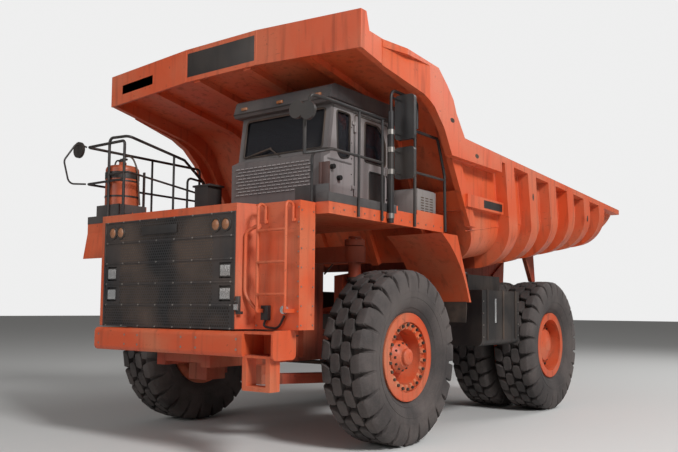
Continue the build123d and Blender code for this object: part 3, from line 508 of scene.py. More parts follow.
# ---------------------------------------------------------------- geometry nodes
class Repeater:
    """A geometry node tree with named inputs, baked on a carrier mesh."""

    def __init__(self, name: str, inputs: Sequence[tuple[str, str]]) -> None:
        self.tree = bpy.data.node_groups.new(name, "GeometryNodeTree")
        self.graph = Graph(self.tree)
        face = self.tree.interface
        face.new_socket(name="Geometry", in_out="INPUT", socket_type="NodeSocketGeometry")
        self.sockets = {label: face.new_socket(name=label, in_out="INPUT", socket_type=f"NodeSocket{kind}")
                        .identifier for label, kind in inputs}
        face.new_socket(name="Geometry", in_out="OUTPUT", socket_type="NodeSocketGeometry")
        self.given = {s.name: s for s in self.graph.node("NodeGroupInput").outputs}

    def close(self, geometry: bpy.types.NodeSocket) -> "Repeater":
        """Realise the instances, set their material and end the tree."""
        real = self.graph.node("GeometryNodeRealizeInstances")
        paint = self.graph.node("GeometryNodeSetMaterial")
        end = self.graph.node("NodeGroupOutput")
        self.graph.feed(real.inputs[0], geometry)
        self.graph.feed(paint.inputs["Geometry"], real.outputs[0])
        self.graph.feed(paint.inputs["Material"], self.given["Material"])
        self.graph.feed(end.inputs[0], paint.outputs[0])
        return self

    def bake(self, name: str, carrier: bpy.types.Mesh, finish: Finish, slot: str, body: str,
             move: Matrix | None = None, replaces: Sequence[str] = (), **values: object) -> bpy.types.Object:
        """Run the tree on a carrier mesh and keep the result as a piece.

        Args:
            name: the piece's name.
            carrier: the mesh the tree starts from.
            finish: what it is made of.
            slot: not used.
            body: the body it moves with.
            move: where the baked mesh goes.
            replaces: the nodes it stands for.
            values: input values, by name with _ for a space.

        Returns:
            The new object.
        """
        holder = bpy.data.objects.new(f"{name}_carrier", carrier)
        bpy.context.scene.collection.objects.link(holder)
        modifier = holder.modifiers.new("repeat", "NODES")
        modifier.node_group = self.tree
        modifier[self.sockets["Material"]] = finish.material()
        for key, value in values.items():
            modifier[self.sockets[key.replace("_", " ")]] = value
        bpy.context.view_layer.update()
        graph = bpy.context.evaluated_depsgraph_get()
        data = bpy.data.meshes.new_from_object(holder.evaluated_get(graph))
        holder.modifiers.remove(modifier)
        bpy.data.objects.remove(holder)
        data.name = name
        if move:
            data.transform(move)
        return settle(name, data, finish, body, replaces)


def bolt_repeater() -> Repeater:
    """Bolt heads on the carrier's points, each facing the way its point says."""
    rep = Repeater("bolt_heads", [("Radius", "Float"), ("Height", "Float"), ("Corners", "Int"),
                                  ("Spread", "Float"), ("Seed", "Int"), ("Material", "Material")])
    graph, given = rep.graph, rep.given
    head = graph.node("GeometryNodeMeshCylinder")
    graph.feed(head.inputs["Vertices"], given["Corners"])
    graph.feed(head.inputs["Radius"], given["Radius"])
    graph.feed(head.inputs["Depth"], given["Height"])
    facing = graph.node("GeometryNodeInputNamedAttribute", data_type="FLOAT_VECTOR")
    facing.inputs["Name"].default_value = "facing"
    turn = graph.node("FunctionNodeAlignRotationToVector", axis="Z")
    graph.feed(turn.inputs["Vector"], facing.outputs["Attribute"])
    size = graph.node("FunctionNodeRandomValue", data_type="FLOAT")
    low = graph.math("SUBTRACT", 1.0, given["Spread"])
    high = graph.math("ADD", 1.0, given["Spread"])
    floats = [s for s in size.inputs if s.name in ("Min", "Max") and s.type == "VALUE" and s.enabled]
    graph.feed(floats[0], low)
    graph.feed(floats[1], high)
    graph.feed(size.inputs["Seed"], given["Seed"])
    put = graph.node("GeometryNodeInstanceOnPoints")
    graph.feed(put.inputs["Points"], given["Geometry"])
    graph.feed(put.inputs["Instance"], head.outputs["Mesh"])
    graph.feed(put.inputs["Rotation"], turn.outputs[0])
    graph.feed(put.inputs["Scale"], [s for s in size.outputs if s.type == "VALUE" and s.enabled][0])
    return rep.close(put.outputs[0])


def ring_repeater() -> Repeater:
    """Copies of the carrier turned evenly about the X axis."""
    rep = Repeater("ring_of_copies", [("Count", "Int"), ("Turn", "Float"), ("Material", "Material")])
    graph, given = rep.graph, rep.given
    line = graph.node("GeometryNodeMeshLine")
    graph.feed(line.inputs["Count"], given["Count"])
    line.inputs["Offset"].default_value = (0, 0, 0)
    index = graph.node("GeometryNodeInputIndex")
    angle = graph.math("DIVIDE", graph.math("MULTIPLY", index.outputs[0], math.tau), given["Count"])
    spin = graph.node("ShaderNodeCombineXYZ")
    graph.feed(spin.inputs[0], graph.math("ADD", angle, given["Turn"]))
    put = graph.node("GeometryNodeInstanceOnPoints")
    graph.feed(put.inputs["Points"], line.outputs[0])
    graph.feed(put.inputs["Instance"], given["Geometry"])
    graph.feed(put.inputs["Rotation"], spin.outputs[0])
    return rep.close(put.outputs[0])


def grid_repeater() -> Repeater:
    """Copies of the carrier in rows, every other row shifted."""
    rep = Repeater("rows_of_copies", [("Columns", "Int"), ("Rows", "Int"), ("Column Step", "Vector"),
                                      ("Row Step", "Vector"), ("Stagger", "Float"), ("Material", "Material")])
    graph, given = rep.graph, rep.given
    line = graph.node("GeometryNodeMeshLine")
    graph.feed(line.inputs["Count"], graph.math("MULTIPLY", given["Columns"], given["Rows"]))
    line.inputs["Offset"].default_value = (0, 0, 0)
    index = graph.node("GeometryNodeInputIndex").outputs[0]
    column = graph.math("MODULO", index, given["Columns"])
    row = graph.math("FLOOR", graph.math("DIVIDE", index, given["Columns"]))
    shift = graph.math("MULTIPLY", graph.math("MODULO", row, 2.0), given["Stagger"])
    across = graph.node("ShaderNodeVectorMath", operation="SCALE")
    graph.feed(across.inputs[0], given["Column Step"])
    graph.feed(across.inputs["Scale"], graph.math("ADD", column, shift))
    up = graph.node("ShaderNodeVectorMath", operation="SCALE")
    graph.feed(up.inputs[0], given["Row Step"])
    graph.feed(up.inputs["Scale"], row)
    both = graph.node("ShaderNodeVectorMath", operation="ADD")
    graph.feed(both.inputs[0], across.outputs[0])
    graph.feed(both.inputs[1], up.outputs[0])
    spread = graph.node("GeometryNodeSetPosition")
    graph.feed(spread.inputs["Geometry"], line.outputs[0])
    graph.feed(spread.inputs["Position"], both.outputs[0])
    put = graph.node("GeometryNodeInstanceOnPoints")
    graph.feed(put.inputs["Points"], spread.outputs[0])
    graph.feed(put.inputs["Instance"], given["Geometry"])
    return rep.close(put.outputs[0])


class Repeaters:
    """The geometry node trees, each built once."""

    bolts: Repeater
    ring: Repeater
    grid: Repeater

    @classmethod
    def build(cls) -> None:
        """Build every tree."""
        cls.bolts, cls.ring, cls.grid = bolt_repeater(), ring_repeater(), grid_repeater()


def bolts(name: str, spots: Sequence[tuple[Point, Point]], radius: float, body: str, finish: Finish = STEEL,
          slot: str = "steel_tube", height: float = 0.0, corners: int = 6) -> bpy.types.Object:
    """Place bolt heads.

    Args:
        name: the piece's name.
        spots: each bolt's place and the way it faces.
        radius: the head's radius.
        body: the body they move with.
        finish: what they are made of.
        slot: handed on to the bake, which does not use it.
        height: the head's height, or 0 for the usual one.
        corners: 6 for a bolt, more for a rivet.

    Returns:
        The piece.
    """
    data = bpy.data.meshes.new(name)
    data.from_pydata([tuple(p) for p, _ in spots], [], [])
    facing = data.attributes.new("facing", "FLOAT_VECTOR", "POINT")
    for index, (_, way) in enumerate(spots):
        facing.data[index].vector = way
    return Repeaters.bolts.bake(name, data, finish, slot, body, Radius=radius, Height=height or radius,
                                Corners=corners, Spread=0.04, Seed=7)


def carrier(shape: Shape) -> bpy.types.Mesh:
    """The shape's mesh, for a tree to repeat."""
    bmesh.ops.recalc_face_normals(shape.mesh, faces=shape.mesh.faces)
    data = bpy.data.meshes.new("carrier")
    shape.mesh.to_mesh(data)
    shape.mesh.free()
    return data


# ---------------------------------------------------------------- the truck's parts
@dataclass
class Part:
    """A part of the truck that gets trim. Lengths along it are measured from the front axle."""

    axle_y: float
    body: str = "chassis"

    def at(self, x: float, y: float, z: float) -> Vector:
        """A point given from the front axle."""
        return Vector((x, self.axle_y + y, z))

    def dress(self) -> None:
        """Add the part's trim."""
        raise NotImplementedError


@dataclass
class Wheels(Part):
    """Tyres with block tread, and the bolts and rings on their rims."""

    pitches: int = 24
    carcass: tuple = ((0.447, -0.212), (0.500, -0.2135), (0.536, -0.214), (0.575, -0.246), (0.63, -0.287),
                      (0.70, -0.311), (0.78, -0.3215), (0.825, -0.3215), (0.845, -0.312), (0.90, -0.298),
                      (0.945, -0.272), (0.968, -0.235), (0.978, -0.17), (0.982, -0.08), (0.983, 0.0))
    shoulder: tuple = ((0.146, 1.0540), (0.158, 1.0590), (0.205, 1.0580), (0.258, 1.0510), (0.2600, 1.0495),
                       (0.2950, 1.0150), (0.3120, 0.9750), (0.3210, 0.9200), (0.3240, 0.8700), (0.3235, 0.8250))
    middle: tuple = ((0.010, 0.20), (0.022, 0.35), (0.075, 0.40), (0.120, 0.385), (0.134, 0.25))

    def lug(self, shape: Shape, hand: int, sections: Sequence[tuple[float, float, float, float, float]]) -> None:
        """One block of rubber through (across, top, low, half angle, lean) sections."""
        rings = []
        for across, top, low, wide, lean in sections:
            soft = 0.010 / top
            corners = ((low, wide * 1.10), (top - 0.012, wide), (top, wide - soft), (top, -wide + soft),
                       (top - 0.012, -wide), (low, -wide * 1.10))
            rings.append([(hand * across, r * math.sin(a + lean), r * math.cos(a + lean)) for r, a in corners])
        shape.loft(rings)

    def tread_unit(self) -> bpy.types.Mesh:
        """One pitch of tread: a shoulder block and a middle block on each side."""
        shape = Shape()
        pitch = math.tau / self.pitches
        for hand in (-1, 1):
            turn = 0.0 if hand > 0 else pitch / 2
            sections = []
            for index, (across, top) in enumerate(self.shoulder):
                share = (0.22, 0.33, 0.385, 0.395, 0.395, 0.40, 0.40, 0.405, 0.405, 0.405)[index]
                low = 0.965 if index < 3 else 0.95 if index < 5 else top - 0.10
                sections.append((across, top, max(low, 0.80), pitch * share, turn + pitch * 0.035 * min(index, 4)))
            self.lug(shape, hand, sections)
            sections = [(across, 1.0595 - 0.004 * (index in (0, 4)), 0.965, pitch * share,
                         turn + pitch * (0.62 - 0.10 * index / 4)) for index, (across, share)
                        in enumerate(self.middle)]
            self.lug(shape, hand, sections)
        return carrier(shape)

    def tyre(self, name: str, centre: Vector, body: str, node: str, turn: float) -> None:
        """One tyre: its carcass with raised sidewall rings, and its tread."""
        half = list(self.carcass)
        outline = half + [(r, -x) for r, x in reversed(half[:-1])]
        shape = Shape().turned([(r, centre.x + x) for r, x in outline], (0, centre.y, centre.z), 96)
        for radius, across in ((0.60, 0.266), (0.72, 0.314), (0.80, 0.3195)):
            for hand in (-1, 1):
                x = centre.x + hand * across
                ring = [(radius - 0.007, x - 0.004), (radius, x + 0.004 * hand), (radius + 0.007, x - 0.004),
                        (radius, x - 0.008)]
                shape.turned(ring, (0, centre.y, centre.z), 72)
        shape.done(f"{name}_carcass", RUBBER, "tyre", body, replaces=[node])
        Repeaters.ring.bake(f"{name}_tread", self.tread_unit(), RUBBER, "tyre", body,
                            Matrix.Translation(centre), Count=self.pitches, Turn=turn)

    def rim(self, name: str, centre: Vector, side: Side, body: str, face: float, nuts: float,
            circle: float) -> None:
        """Clamps with their nuts, hub bolts on a circle, ridges and a valve."""
        sign = side.value
        spots, wedge = [], Shape()
        for k in range(22):
            a = math.tau * (k + 0.5) / 22
            out, flank = Vector((0, math.cos(a), math.sin(a))), Vector((0, -math.sin(a), math.cos(a)))
            spot = Vector((face, centre.y, centre.z)) + out * 0.385
            near = [spot - flank * 0.018 - out * 0.052, spot + flank * 0.018 - out * 0.052,
                    spot + flank * 0.036 + out * 0.034, spot - flank * 0.036 + out * 0.034]
            far = [spot + (p - spot) * 0.82 + Vector((sign * 0.024, 0, 0)) for p in near]
            wedge.loft([near, far])
            spots.append((spot + Vector((sign * 0.030, 0, 0)), (sign, 0, 0)))
        # The clamps take the lighter orange: painted highlight.
        wedge.done(f"{name}_clamps", LIT_CLAMP_ORANGE, "rim_paint", body, 0.003)
        bolts(f"{name}_clamp_nuts", spots, 0.019, body, IRON, "axle_iron", 0.038)
        ridges = Shape()
        for radius, across in ((0.520, 0.247), (0.492, 0.243), (0.462, 0.240), (0.432, 0.232)):
            x = centre.x + sign * across
            ridges.turned([(radius - 0.007, x - sign * 0.012), (radius - 0.004, x), (radius + 0.004, x),
                           (radius + 0.007, x - sign * 0.012)], (0, centre.y, centre.z), 72)
        ridges.done(f"{name}_ridges", RIM, "rim_paint", body)
        spots = [((nuts, centre.y + circle * math.cos(a), centre.z + circle * math.sin(a)), (sign, 0, 0))
                 for a in (math.tau * k / 12 for k in range(12))]
        bolts(f"{name}_hub_bolts", spots, 0.016, body, IRON, "axle_iron", 0.022)
        start = Vector((face, centre.y, centre.z + 0.37))
        Shape().tube([start, start + Vector((sign * 0.03, 0, 0.01)), start + Vector((sign * 0.05, 0, 0.05))],
                     0.006, 0.01, 8).done(f"{name}_valve", STEEL, "steel_tube", body)

    def dress(self) -> None:
        """Dress all six wheels."""
        for side in Side:
            low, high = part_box(f"front_tyre_{side.word}")
            centre = (Vector(low) + Vector(high)) / 2
            body = f"front_wheel_{side.word}"
            self.tyre(f"front_tyre_{side.word}", centre, body, f"front_tyre_{side.word}", 0.05)
            self.rim(f"front_rim_{side.word}", centre, side, body, centre.x + side.value * 0.199,
                     centre.x + side.value * 0.158, 0.160)
            cap = centre + Vector((side.value * 0.262, 0, 0))
            emblem = [cap + Vector((0, 0.030 * math.sin(a), 0.030 * math.cos(a)))
                      for a in (math.tau * k / 3 for k in range(3))]
            Shape().prism(emblem, (side.value * 0.010, 0, 0)).done(f"front_cap_{side.word}", RIM, "rim_paint",
                                                                   body, 0.003)
            low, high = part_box(f"rear_tyres_{side.word}")
            inner, outer = sorted((low[0], high[0]), key=abs)
            body = f"rear_wheels_{side.word}"
            for word, x in (("inner", inner + side.value * 0.325), ("outer", outer - side.value * 0.325)):
                spot = Vector((x, (low[1] + high[1]) / 2, (low[2] + high[2]) / 2))
                self.tyre(f"rear_{word}_tyre_{side.word}", spot, body, f"rear_tyres_{side.word}",
                          0.11 if word == "inner" else 0.02)
            self.rim(f"rear_rim_{side.word}", spot, side, body, spot.x + side.value * 0.019,
                     spot.x + side.value * 0.152, 0.185)


@dataclass
class Nose(Part):
    """Grille, lamps, corner, bumper and ladder."""

    def dress(self) -> None:
        """Dress the nose."""
        low, high = (Vector(v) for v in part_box("grille"))
        front = low.y
        # The grille's holes are black hexagons laid just in front of the plate: painted shade for the dark seen
        # through them.
        hole = Shape()
        ring = [(0.0125 * math.cos(math.tau * k / 6), 0.0, 0.0125 * math.sin(math.tau * k / 6)) for k in range(6)]
        hole.prism(ring, (0, 0.004, 0))
        pitch = (high.z - low.z) / 5
        mesh = carrier(hole)
        for row in range(5):
            start = Vector((low.x + 0.035, front - 0.0012, low.z + row * pitch + 0.026))
            side_gap = 0.0 if row == 0 else 0.27
            columns = int((high.x - low.x - 0.07 - 2 * side_gap) / 0.036)
            Repeaters.grid.bake(f"grille_holes_{row}", mesh.copy(), PAINTED_HOLE_SHADE, "dark_paint", self.body,
                                Matrix.Translation(start + Vector((side_gap, 0, 0))), Columns=columns, Rows=7,
                                Column_Step=(0.036, 0, 0), Row_Step=(0, 0, 0.0318), Stagger=0.5)
        bars = Shape()
        for row in range(6):
            z = low.z + row * pitch
            bars.box((low.x, front - 0.008, z - 0.009), (high.x, front + 0.004, z + 0.009))
        for x in (low.x, high.x):
            bars.box((x - 0.012, front - 0.010, low.z - 0.01), (x + 0.012, front + 0.01, high.z + 0.01))
        bars.done("grille_bars", MESH_PLATE, "dark_paint", self.body, 0.003)
        spots = [((x, front - 0.008, low.z + row * pitch), (0, -1, 0)) for row in range(6)
                 for x in [low.x + 0.05 + k * (high.x - low.x - 0.1) / 7 for k in range(8)]]
        bolts("grille_bolts", spots, 0.011, self.body)
        for side in Side:
            for index, x in enumerate((0.830, 0.985)):
                spot = Vector((side.value * x, front, high.z - pitch / 2))
                Shape().turned([(0.062, spot.y - 0.014), (0.080, spot.y - 0.014), (0.082, spot.y + 0.004),
                                (0.062, spot.y + 0.004)], (spot.x, 0, spot.z), 32, "Y").done(
                    f"marker_rim_{side.word}_{index}", BLACK, "dark_paint", self.body, 0.002)
                Shape().turned([(0.0005, spot.y - 0.020), (0.03, spot.y - 0.018), (0.052, spot.y - 0.012),
                                (0.063, spot.y - 0.004), (0.063, spot.y + 0.004), (0.0005, spot.y + 0.004)],
                               (spot.x, 0, spot.z), 32, "Y").done(
                    f"marker_lens_{side.word}_{index}", AMBER, "lamp", self.body)
            for row in (1.5, 2.5):
                x, z = side.value * 0.985, low.z + row * pitch
                lamp = Shape().box((x - 0.090, front - 0.004, z - 0.072), (x + 0.090, front + 0.004, z - 0.060))
                lamp.box((x - 0.090, front - 0.004, z + 0.060), (x + 0.090, front + 0.004, z + 0.072))
                for edge in (-0.090, 0.078):
                    lamp.box((x + edge, front - 0.004, z - 0.06), (x + edge + 0.012, front + 0.004, z + 0.06))
                lamp.done(f"headlamp_frame_{side.word}_{int(row)}", BLACK, "dark_paint", self.body, 0.002)
                lens = Shape()
                for k in range(7):
                    left = x - 0.076 + k * 0.022
                    lens.box((left, front - 0.003, z - 0.056), (left + 0.020, front + 0.004, z + 0.056))
                lens.done(f"headlamp_lens_{side.word}_{int(row)}", SILVER, "lamp", self.body, 0.002)
        Shape().box((-0.42, front - 0.016, high.z - 0.175), (0.20, front - 0.009, high.z - 0.075)).done(
            "blank_name_plate", BLACK, "dark_paint", self.body, 0.003)
        self.corner()
        self.bumper()

    def corner(self) -> None:
        """Raised tube, cables, filler valve and treads beside the ladder."""
        pipe = [self.at(1.40, -1.98, 2.47), self.at(1.40, -1.94, 2.53), self.at(1.215, -1.975, 2.45),
                self.at(1.215, -1.975, 1.78), self.at(1.36, -1.93, 1.60)]
        Shape().tube(pipe, 0.019, 0.07).done("corner_tube", ORANGE, "body_paint", self.body)
        box = Shape().box(self.at(1.38, -1.90, 1.51), self.at(1.48, -1.85, 1.665))
        box.box(self.at(1.39, -1.905, 1.525), self.at(1.47, -1.90, 1.65))
        box.done("junction_box", BLACK, "dark_paint", self.body, 0.004)
        Shape().tube([self.at(1.43, -1.87, 1.52), self.at(1.40, -1.885, 1.44), self.at(1.62, -1.885, 1.42),
                      self.at(1.69, -1.87, 1.56)], 0.012, 0.07).done("junction_cable", SEAL, "dark_paint",
                                                                     self.body)
        cap = Shape().tube([self.at(1.69, -1.85, 1.62), self.at(1.69, -1.90, 1.62)], 0.042, sides=20)
        cap.tube([self.at(1.69, -1.87, 1.62), self.at(1.69, -1.87, 1.69)], 0.018)
        cap.done("pale_cap", SILVER, "lamp", self.body, 0.004)
        spot = self.at(1.175, -2.035, 1.60)
        valve = Shape().tube([spot, spot + Vector((0, 0, 0.16))], 0.030, sides=16)
        valve.tube([spot + Vector((0, 0, 0.10)), spot + Vector((-0.01, -0.05, 0.10))], 0.018)
        valve.box(spot - Vector((0.05, 0.01, 0.03)), spot + Vector((0.05, 0.03, 0.0)))
        valve.done("filler_valve", BLACK, "dark_paint", self.body, 0.003)
        Shape().box(spot + Vector((-0.03, -0.034, 0.015)), spot + Vector((0.03, -0.028, 0.075))).done(
            "valve_tag", SILVER, "lamp", self.body)
        treads = Shape()
        for z in (1.78, 2.115, 2.45):
            treads.box(self.at(1.40, -2.004, z - 0.006), self.at(1.79, -1.955, z + 0.014))
        treads.done("ladder_treads", ORANGE, "body_paint", self.body, 0.003)
        spots = [(self.at(x, -1.8503, z), (0, -1, 0)) for x in (1.275, 1.855) for z in
                 [1.45 + 0.155 * k for k in range(9)]]
        bolts("corner_bolts", spots, 0.010, self.body)
        spots = [(self.at(1.8703, y, z), (1, 0, 0)) for y in (-1.82, -1.63) for z in
                 [1.46 + 0.2 * k for k in range(7)]]
        bolts("corner_side_bolts", spots, 0.010, self.body)

    def bumper(self) -> None:
        """Bolts and a step grip on the bumper."""
        spots = [(self.at(x, -2.1205, z), (0, -1, 0)) for x in (-1.12, -0.62, -0.38, 0.38, 0.62, 1.24)
                 for z in (1.20, 1.31)]
        bolts("bumper_bolts", [(p + Vector((0, 0.003, 0)), n) for p, n in spots], 0.015, self.body, height=0.006)
        # The step grip takes the darker orange: painted shade inside the bumper's step opening.
        grip = Shape()
        for k in range(9):
            x = 1.345 + 0.042 * k
            grip.box(self.at(x, -2.085, 1.145), self.at(x + 0.018, -1.80, 1.151))
        grip.done("bumper_step_grip", DIRT_AND_SHADE_ORANGE, "body_paint", self.body)


@dataclass
class Cab(Part):
    """Louvres, window seals, wiper, handles, roof edge and seat."""

    def seal(self, name: str, outline: Sequence[Point], body: str, bend: float = 0.05,
             thick: float = 0.012) -> None:
        """A rubber seal round a window, from its corner points."""
        pts = [Vector(p) for p in outline]
        middle = (pts[0] + pts[-1]) / 2
        line = rounded([middle, *pts, middle], bend, 5)
        Shape().tube(line, thick, sides=6).done(name, SEAL, "dark_paint", body)

    def raked(self, x: float, z: float, out: float = 0.0) -> Vector:
        """A point on the raked face above the cowl."""
        return self.at(x, -1.065 + 0.075 * (z - 3.46) / 0.56 - out, z)

    def dress(self) -> None:
        """Dress the cab."""
        self.front()
        self.sides()
        self.roof()
        self.seat()

    def front(self) -> None:
        """Cowl louvres, windscreen seal, wiper and bolts."""
        # The louvre blades take the lighter grey: a painted highlight on their tops.
        blade = Shape().prism([(-0.027, 0.002, 0.012), (-0.027, -0.010, -0.006), (-0.027, 0.002, -0.006)],
                              (0.054, 0, 0))
        Repeaters.grid.bake("cowl_louvres", carrier(blade), LIT_CAB_GREY, "cab_paint", self.body,
                            Matrix.Translation(self.at(0.29, -1.181, 3.015)), Columns=16, Rows=9,
                            Column_Step=(0.074, 0, 0), Row_Step=(0, 0, 0.040), Stagger=0.5)
        # A black strip under each louvre blade: a painted shadow.
        shade = Shape().box((-0.026, -0.0015, -0.011), (0.026, 0.002, -0.006))
        Repeaters.grid.bake("cowl_louvre_shadows", carrier(shade), PAINTED_HOLE_SHADE, "dark_paint", self.body,
                            Matrix.Translation(self.at(0.29, -1.181, 3.015)), Columns=16, Rows=9,
                            Column_Step=(0.074, 0, 0), Row_Step=(0, 0, 0.040), Stagger=0.5)
        self.seal("windscreen_seal", [self.raked(0.262, 3.497), self.raked(0.262, 3.978),
                                      self.raked(1.518, 3.978), self.raked(1.518, 3.497)], self.body)
        arm = Shape().tube([self.raked(0.90, 3.43, 0.015), self.raked(0.89, 3.46, 0.030),
                            self.raked(0.71, 3.575, 0.022)], 0.008, 0.02)
        arm.tube([self.raked(0.30, 3.50, 0.012), self.raked(0.72, 3.58, 0.012)], 0.011)
        arm.tube([self.raked(0.90, 3.43, -0.005), self.raked(0.90, 3.43, 0.028)], 0.024)
        arm.done("wiper", SEAL, "dark_paint", self.body)
        spots = [(self.at(x, -1.1805, 2.84), (0, -1, 0)) for x in [0.24 + 0.13 * k for k in range(11)]]
        bolts("cowl_bolts", spots, 0.009, self.body, BLACK, "dark_paint")

    def sides(self) -> None:
        """Side window seals, the door's trim, and rubber stops."""
        x = 1.6
        self.seal("quarter_window_seal", [self.at(x, -0.90, 3.96), self.at(x, -0.63, 3.96),
                                          self.at(x, -0.64, 3.44), self.at(x, -0.80, 3.40),
                                          self.at(x, -0.87, 3.45)], self.body)
        self.seal("door_window_seal", [self.at(x, -0.33, 3.44), self.at(x, 0.13, 3.44), self.at(x, 0.13, 3.70),
                                       self.at(x, 0.06, 3.86), self.at(x, -0.04, 3.93),
                                       self.at(x, -0.33, 3.93)], "cab_door")
        self.seal("door_frame_seal", [self.at(x, -0.535, 2.845), self.at(x, -0.535, 3.975),
                                      self.at(x, 0.175, 3.975), self.at(x, 0.175, 2.845)], "cab_door", 0.03,
                  0.007)
        panel = Shape().box(self.at(x - 0.013, -0.228, 2.962), self.at(x - 0.007, 0.108, 3.328))
        panel.done("door_lower_panel", BLACK, "dark_paint", "cab_door", 0.002)
        self.seal("door_panel_seal", [self.at(x - 0.004, -0.228, 2.962), self.at(x - 0.004, -0.228, 3.328),
                                      self.at(x - 0.004, 0.108, 3.328), self.at(x - 0.004, 0.108, 2.962)],
                  "cab_door", 0.03)
        Shape().tube([self.at(x, 0.15, 3.02), self.at(x + 0.045, 0.15, 3.04), self.at(x + 0.045, 0.15, 3.30),
                      self.at(x, 0.15, 3.32)], 0.010, 0.03).done("door_pull", BLACK, "dark_paint", "cab_door")
        for index, (y, z) in enumerate(((-0.99, 3.275), (-0.86, 3.16))):
            Shape().tube([self.at(x, y, z), self.at(x + 0.05, y, z)], 0.030, sides=20).done(
                f"rubber_stop_{index}", SEAL, "dark_paint", self.body, 0.006)
        spots = [(self.at(x + 0.001, y, z), (1, 0, 0)) for y, z in
                 [(-1.09, 2.86 + 0.15 * k) for k in range(4)] + [(-0.60, 2.86 + 0.19 * k) for k in range(6)]
                 + [(0.24, 2.86 + 0.19 * k) for k in range(6)]]
        bolts("cab_side_bolts", spots, 0.008, self.body, BLACK, "dark_paint")
        strip = Shape().box(self.at(x, -1.06, 3.355), self.at(x + 0.006, -0.60, 3.375))
        strip.box(self.at(x, -1.17, 2.81), self.at(x + 0.008, 0.27, 2.826))
        strip.done("cab_side_strips", CAB_GREY, "cab_paint", self.body, 0.002)
        low, high = (Vector(v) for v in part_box("cab_rear_wall"))
        self.seal("rear_window_seal", [(0.45, high.y, 3.40), (0.45, high.y, 3.94), (1.35, high.y, 3.94),
                                       (1.35, high.y, 3.40)], self.body)
        self.seal("inner_window_seal", [self.at(0.18, -0.80, 3.40), self.at(0.18, -0.80, 3.94),
                                        self.at(0.18, 0.12, 3.94), self.at(0.18, 0.12, 3.40)], self.body)

    def roof(self) -> None:
        """Rain gutter, marker lamps and rivets."""
        low, high = (Vector(v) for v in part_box("cab_roof"))
        gutter = [(low.x - 0.004, high.y, 4.05), (low.x - 0.004, low.y + 0.004, 4.062),
                  (high.x + 0.004, low.y + 0.004, 4.062), (high.x + 0.004, high.y, 4.05)]
        Shape().tube(gutter, 0.010, 0.02, 8).done("roof_gutter", BLACK, "dark_paint", self.body)
        rivets = [((x, y, high.z), (0, 0, 1)) for x in (low.x + 0.06, high.x - 0.06)
                  for y in [low.y + 0.15 + 0.14 * k for k in range(9)]]
        bolts("roof_rivets", rivets, 0.010, self.body, BLACK, "dark_paint", 0.006, 12)
        for index, x in enumerate((0.30, 0.89, 1.48)):
            Shape().box((x - 0.045, low.y - 0.006, 4.10), (x + 0.045, low.y + 0.022, 4.135)).done(
                f"roof_marker_{index}", AMBER, "lamp", self.body, 0.006)

    def seat(self) -> None:
        """A crowned cushion and backrest in place of the plain seat solids."""
        low, high = (Vector(v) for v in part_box("driver_seat"))
        for name, a, b, tall in (("seat_cushion", (low.x, low.y, low.z), (high.x, low.y + 0.47, low.z + 0.13), 2),
                                 ("seat_back", (low.x + 0.01, low.y + 0.50, low.z + 0.05),
                                  (high.x - 0.01, low.y + 0.615, high.z - 0.01), 1)):
            shape = Shape()
            centre, half = (Vector(a) + Vector(b)) / 2, (Vector(b) - Vector(a)) / 2
            grid = 14
            result = bmesh.ops.create_cube(shape.mesh, size=2)
            bmesh.ops.subdivide_edges(shape.mesh, edges=shape.mesh.edges[:], cuts=grid, use_grid_fill=True)
            for vert in result["verts"] and shape.mesh.verts:
                p = vert.co.copy()
                power = sum(abs(v) ** 5 for v in p) ** 0.2
                p = p / power if power > 0 else p
                flat = 2 if tall == 2 else 1
                others = [p[k] for k in range(3) if k != flat]
                channel = 0.06 * (math.cos(others[0] * 9) ** 8) if abs(p[flat]) > 0.5 else 0.0
                p[flat] *= (1 - 0.16 * (others[0] ** 2 + others[1] ** 2) / 2) - channel
                vert.co = centre + Vector((p.x * half.x, p.y * half.y, p.z * half.z))
            piece = shape.done(name, SEAT, "seat_fabric", self.body, replaces=["driver_seat"])


